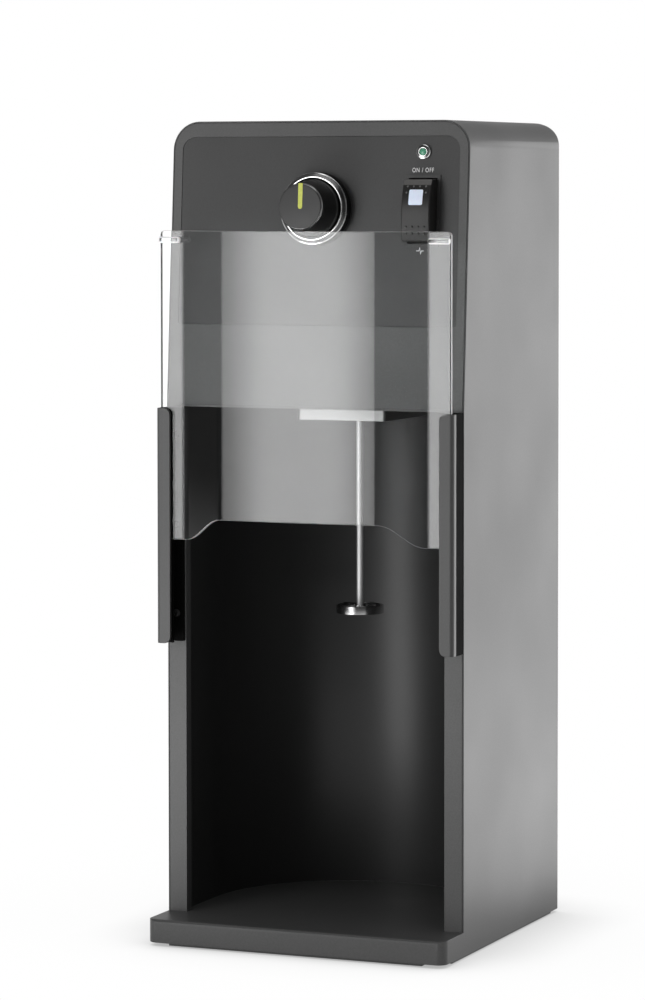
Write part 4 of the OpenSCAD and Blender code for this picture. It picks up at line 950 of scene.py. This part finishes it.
def makePaddle():
    r = rocker
    heights = [-r["tipDown"] * k / 12 for k in range(12, 0, -1)]
    heights += [r["stripFrom"] * k / 10 for k in range(11)]
    heights += [r["stripFrom"] + (r["tipUp"] - r["stripFrom"]) * k / 3 for k in range(1, 4)]
    depth, up = r["shoulder"]
    line = [(depth, -up)] + [(rockerFront(z), z) for z in heights] + [(depth, up)]
    start = math.atan2(up, depth - r["pivot"])
    end = math.atan2(math.sqrt(r["endRadius"] ** 2 - r["back"] ** 2), -r["back"])
    arc = [(r["pivot"] + r["endRadius"] * math.cos(start + (end - start) * k / 5),
            r["endRadius"] * math.sin(start + (end - start) * k / 5)) for k in range(1, 6)]
    outline = line + arc + [(y, -z) for y, z in reversed(arc)]
    paddle = pushed("rockerPaddle", outline, -r["half"], r["half"], lambda y, z, x: onSwitch(x, y, z), 0.7, 3)
    middle = onSwitch(0, 0, 0)
    front, upward = [(tip - middle).normalized() for tip in (onSwitch(0, -1, 0), onSwitch(0, 0, 1))]
    # The top strip, turned up to the light, takes the painted highlight
    for p in paddle.data.polygons:
        up = (p.center - middle).dot(upward) / mm
        p.material_index = int(up > r["stripFrom"] and p.normal.dot(front) > 0.3)
    return paddle


settled(makePaddle(), "rocker", "switch_plastic", ("switchPlastic", "switchTop"), "rocker_paddle")


def makeLens():
    r = rocker
    shape = bmesh.new()
    grid = []
    corner = r["lensCorner"]
    steps = [corner * (1 - math.cos(k * math.pi / 12)) for k in range(7)]
    rows = steps + [2 * r["lensHalf"] * k / 8 for k in range(2, 7)]
    rows += [2 * r["lensHalf"] - v for v in reversed(steps)]
    for row in rows:
        into = max(0.0, corner - min(row, 2 * r["lensHalf"] - row))
        wide = r["lensHalf"] - r["lensNarrow"] - corner + math.sqrt(max(0.0, corner ** 2 - into ** 2))
        z = r["lensUp"] - r["lensHalf"] + row
        grid.append([shape.verts.new(onSwitch(x, rockerFront(z) + y, z))
                     for x, y in ((-wide, -r["lensProud"]), (wide, -r["lensProud"]), (wide, r["lensDeep"]),
                                  (-wide, r["lensDeep"]))])
    skinned(shape, zip(grid, grid[1:]))
    shape.faces.new(grid[0])
    shape.faces.new(list(reversed(grid[-1])))
    return softened(meshed("rockerLens", shape), 0.12, 2, 40)


settled(makeLens(), "rocker", "lens_white", "lensWhite", "rocker_lens")
dress("switch_housing", "switch_plastic", "housingPlastic", 0.15)

# Grip dots moulded into the paddle's front; the upper rows are painted light as if lit from above, the lower
# rows painted dark as painted shade
grips = {"lightRadius": 0.7, "darkRadius": 0.9, "flat": 0.45,
         "light": [(-6.8, 16.4), (-2.3, 16.4), (2.3, 16.4), (6.8, 16.4), (-7.2, 12.0), (7.2, 12.0)],
         "dark": [(x, z) for z in (-11.9, -16.4) for x in (-6.8, -2.3, 2.3, 6.8)]}


def makeGripTree():
    tree, given = growTree("gripDot", ("Radius", "Flatness"))
    ball = addNode(tree, "GeometryNodeMeshUVSphere", {"Segments": 16, "Rings": 8, "Radius": given["Radius"]})
    flat = asVector(tree, 1.0, 1.0, given["Flatness"])
    squeezed = addNode(tree, "GeometryNodeTransform", {"Geometry": ball, "Scale": flat})
    return endTree(tree, given, spread(tree, given["Geometry"], squeezed))


gripTree = makeGripTree()
for tone, material in (("light", "gripLight"), ("dark", "gripDark")):
    dots = grown(f"{tone}GripDots", gripTree, [(x, z, 0.0) for x, z in grips[tone]],
                 {"Radius": grips[tone + "Radius"], "Flatness": grips["flat"]}, material,
                 lambda x, z, out: onSwitch(x, rockerFront(z) - out, z), 60)
    settled(dots, "rocker", "switch_plastic", material)
print("switch made")

# Printed signs on the panel, white with a slight painted glow
signs = {"words": "ON / OFF", "left": 70.6, "right": 86.7, "low": 166.9, "high": 170.1, "depth": 0.44,
         "pulseAt": (77.8, 112.0), "stroke": 0.5, "mitre": 0.35, "spacing": 1.2,
         "pulse": [(-2.9, 0), (-0.9, 0), (-0.3, 2.1), (0.35, -2.1), (0.9, 0), (2.9, 0)]}


def makeWords():
    text = bpy.data.curves.new("panelWords", "FONT")
    text.body = signs["words"]
    text.space_character = signs["spacing"]
    piece = newPiece("panelWords", text)
    mesh = finalMesh(piece)
    bpy.data.objects.remove(piece)
    xs, ys = [[v.co[k] for v in mesh.vertices] for k in (0, 1)]
    wide, tall = max(xs) - min(xs), max(ys) - min(ys)
    for v in mesh.vertices:
        x = signs["left"] + (v.co.x - min(xs)) / wide * (signs["right"] - signs["left"])
        z = signs["low"] + (v.co.y - min(ys)) / tall * (signs["high"] - signs["low"])
        v.co = facePoint(x, signs["depth"], z)
    return newPiece("panelWords", mesh)


def makePulse():
    points = [Vector(p) for p in signs["pulse"]]
    halfWidth = signs["stroke"] / 2
    left, right = [], []
    for i, p in enumerate(points):
        before = (p - points[i - 1]).normalized() if i else (points[1] - p).normalized()
        after = (points[i + 1] - p).normalized() if i < len(points) - 1 else before
        normal = Vector((-(before + after).y, (before + after).x)).normalized()
        side = Vector((-after.y, after.x))
        reach = halfWidth / max(signs["mitre"], normal.dot(side))
        left.append(p + normal * reach)
        right.append(p - normal * reach)
    vertices = [facePoint(signs["pulseAt"][0] + p.x, signs["depth"], signs["pulseAt"][1] + p.y)
                for pair in zip(left, right) for p in pair]
    faces = [(2 * i, 2 * i + 1, 2 * i + 3, 2 * i + 2) for i in range(len(points) - 1)]
    mesh = bpy.data.meshes.new("pulseSign")
    mesh.from_pydata(vertices, [], faces)
    return newPiece("pulseSign", mesh)


settled(makeWords(), "housing", "", "printWhite")
settled(makePulse(), "housing", "", "printWhite")
print("signs made")

# Drive below the head: shaft, agitator and nut
mixing = {"top": 236.0, "rim": 17.3, "tall": 5.9, "wall": 1.4, "hub": 4.5, "hubTall": 4.0, "bore": 1.95,
          "webUp": 234.5, "webThick": 0.9, "waves": 5, "wave": 1.7, "phase": 80.5, "holes": 4, "holeAt": 9.86,
          "holeRadius": 3.2, "stud": 1.9, "studLow": 229.0, "shaft": 2.35, "shaftTop": 398.0}
shaftLine = [(0.0, mixing["studLow"]), (mixing["stud"], mixing["studLow"]), (mixing["stud"], mixing["top"]),
             (mixing["shaft"], mixing["top"]), (mixing["shaft"], mixing["shaftTop"]),
             (0.0, mixing["shaftTop"])]
settled(turned("agitatorShaft", shaftLine, onSpindle, 48), "spindle", "shaft_steel", "satinSteel",
        "agitator_shaft")


def makeWebTree():  # the web between hub and rim rises and falls round the disc, with flow holes through it
    tree, given = growTree("wavedWeb", ("Inner Radius", "Outer Radius", "Thickness", "Wave Height", "Waves",
                                        "Phase", "Holes", "Hole Distance", "Hole Radius"))
    wide = counted(tree, "SUBTRACT", given["Outer Radius"], given["Inner Radius"])
    middle = counted(tree, "SUBTRACT", given["Outer Radius"], counted(tree, "MULTIPLY", wide, 0.5))
    loop = addNode(tree, "GeometryNodeCurvePrimitiveCircle", {"Resolution": 144, "Radius": middle})
    section = addNode(tree, "GeometryNodeCurvePrimitiveQuadrilateral",
                      {"Width": wide, "Height": given["Thickness"]}, mode="RECTANGLE")
    line = addNode(tree, "GeometryNodeSetCurveNormal", {"Curve": loop}, mode="Z_UP")
    web = addNode(tree, "GeometryNodeCurveToMesh", {"Curve": line, "Profile Curve": section})
    corners = addNode(tree, "GeometryNodeMeshCircle",
                      {"Vertices": given["Holes"], "Radius": given["Hole Distance"]}, fill_type="NONE")
    drill = addNode(tree, "GeometryNodeMeshCylinder",
                    {"Vertices": 32, "Depth": 12.0, "Radius": given["Hole Radius"]})
    solid = addNode(tree, "GeometryNodeRealizeInstances", {"Geometry": spread(tree, corners, drill)})
    pierced = addNode(tree, "GeometryNodeMeshBoolean", {0: web, 1: solid}, operation="DIFFERENCE",
                      solver="EXACT")
    spot = addNode(tree, "ShaderNodeSeparateXYZ", {0: addNode(tree, "GeometryNodeInputPosition")}).outputs
    around = counted(tree, "SUBTRACT", counted(tree, "ARCTAN2", spot["Y"], spot["X"]), given["Phase"])
    wave = counted(tree, "COSINE", counted(tree, "MULTIPLY", around, given["Waves"]))
    lift = asVector(tree, z=counted(tree, "MULTIPLY", wave, given["Wave Height"]))
    waved = addNode(tree, "GeometryNodeSetPosition", {"Geometry": pierced, "Offset": lift})
    return endTree(tree, given, waved)


agitatorDisc = hoop("agitatorDisc", (mixing["rim"] - mixing["wall"], mixing["rim"]),
                    (mixing["top"] - mixing["tall"], mixing["top"]), 0.4, 4, onSpindle, 128)
settled(agitatorDisc, "spindle", "shaft_steel", "agitatorSteel", "agitator_disc")
agitatorHub = hoop("agitatorHub", (mixing["bore"], mixing["hub"]),
                   (mixing["top"] - mixing["hubTall"], mixing["top"]), 0.3, 3, onSpindle, 64)
settled(agitatorHub, "spindle", "shaft_steel", "agitatorSteel")
webSizes = {"Inner Radius": mixing["hub"] - 0.3, "Outer Radius": mixing["rim"] - mixing["wall"] + 0.4,
            "Thickness": mixing["webThick"], "Wave Height": mixing["wave"], "Waves": mixing["waves"],
            "Phase": math.radians(mixing["phase"]), "Holes": mixing["holes"],
            "Hole Distance": mixing["holeAt"], "Hole Radius": mixing["holeRadius"]}
agitatorWeb = grown("agitatorWeb", makeWebTree(), [(0, 0, 0)], webSizes, "agitatorSteel",
                    lambda x, y, z: onSpindle(x, y, mixing["webUp"] + z), 40)
settled(agitatorWeb, "spindle", "shaft_steel", "agitatorSteel")
dress("agitator_nut", "shaft_steel", "agitatorSteel", 0.3, body="spindle")
dress("shaft_seal", "seal_rubber", "gasketRubber", 0.25)
print("agitator made")

# Feet, inlet and its pins
dress("rubber_feet", "foot_rubber", "footRubber", 0.2)
dress("power_inlet", "inlet_plastic", "socketPlastic", 0.4)
dress("inlet_pins", "terminal_brass", "brass", 0.3)
print("inlet made")

# Everything else keeps its CAD shape and gets its finish
inner = {
    "bearing_housing": "castAlloy", "lower_bearing": "polishedSteel", "motor_bracket": "bracketSteel",
    "motor_rubber_mounts": "footRubber", "motor_can": "motorPaint", "stator_core": "lamination",
    "motor_lower_bell": "castAlloy", "motor_upper_bell": "castAlloy", "brush_holders": "phenolic",
    "pot_body": "bracketSteel", "pot_nut": "chrome", "switch_terminals": "brass", "led_nut": "chrome",
    "control_board": "boardGreen", "board_standoffs": "brass", "heat_sink": "rawAluminium",
    "board_parts": "partPlastic", "wiring_harness": "cableSleeve", "shaft_coupling": "bracketSteel",
    "coupling_screws": "darkScrew", "rotor_shaft": "polishedSteel", "rotor_core": "lamination",
    "commutator": "copper", "cooling_fan": "fanPlastic", "pot_shaft": "rawAluminium",
}
for node, material in inner.items():
    for place in nodes[node].material_slots:
        place.material = finish[material]
print("inner parts finished:", len(inner))
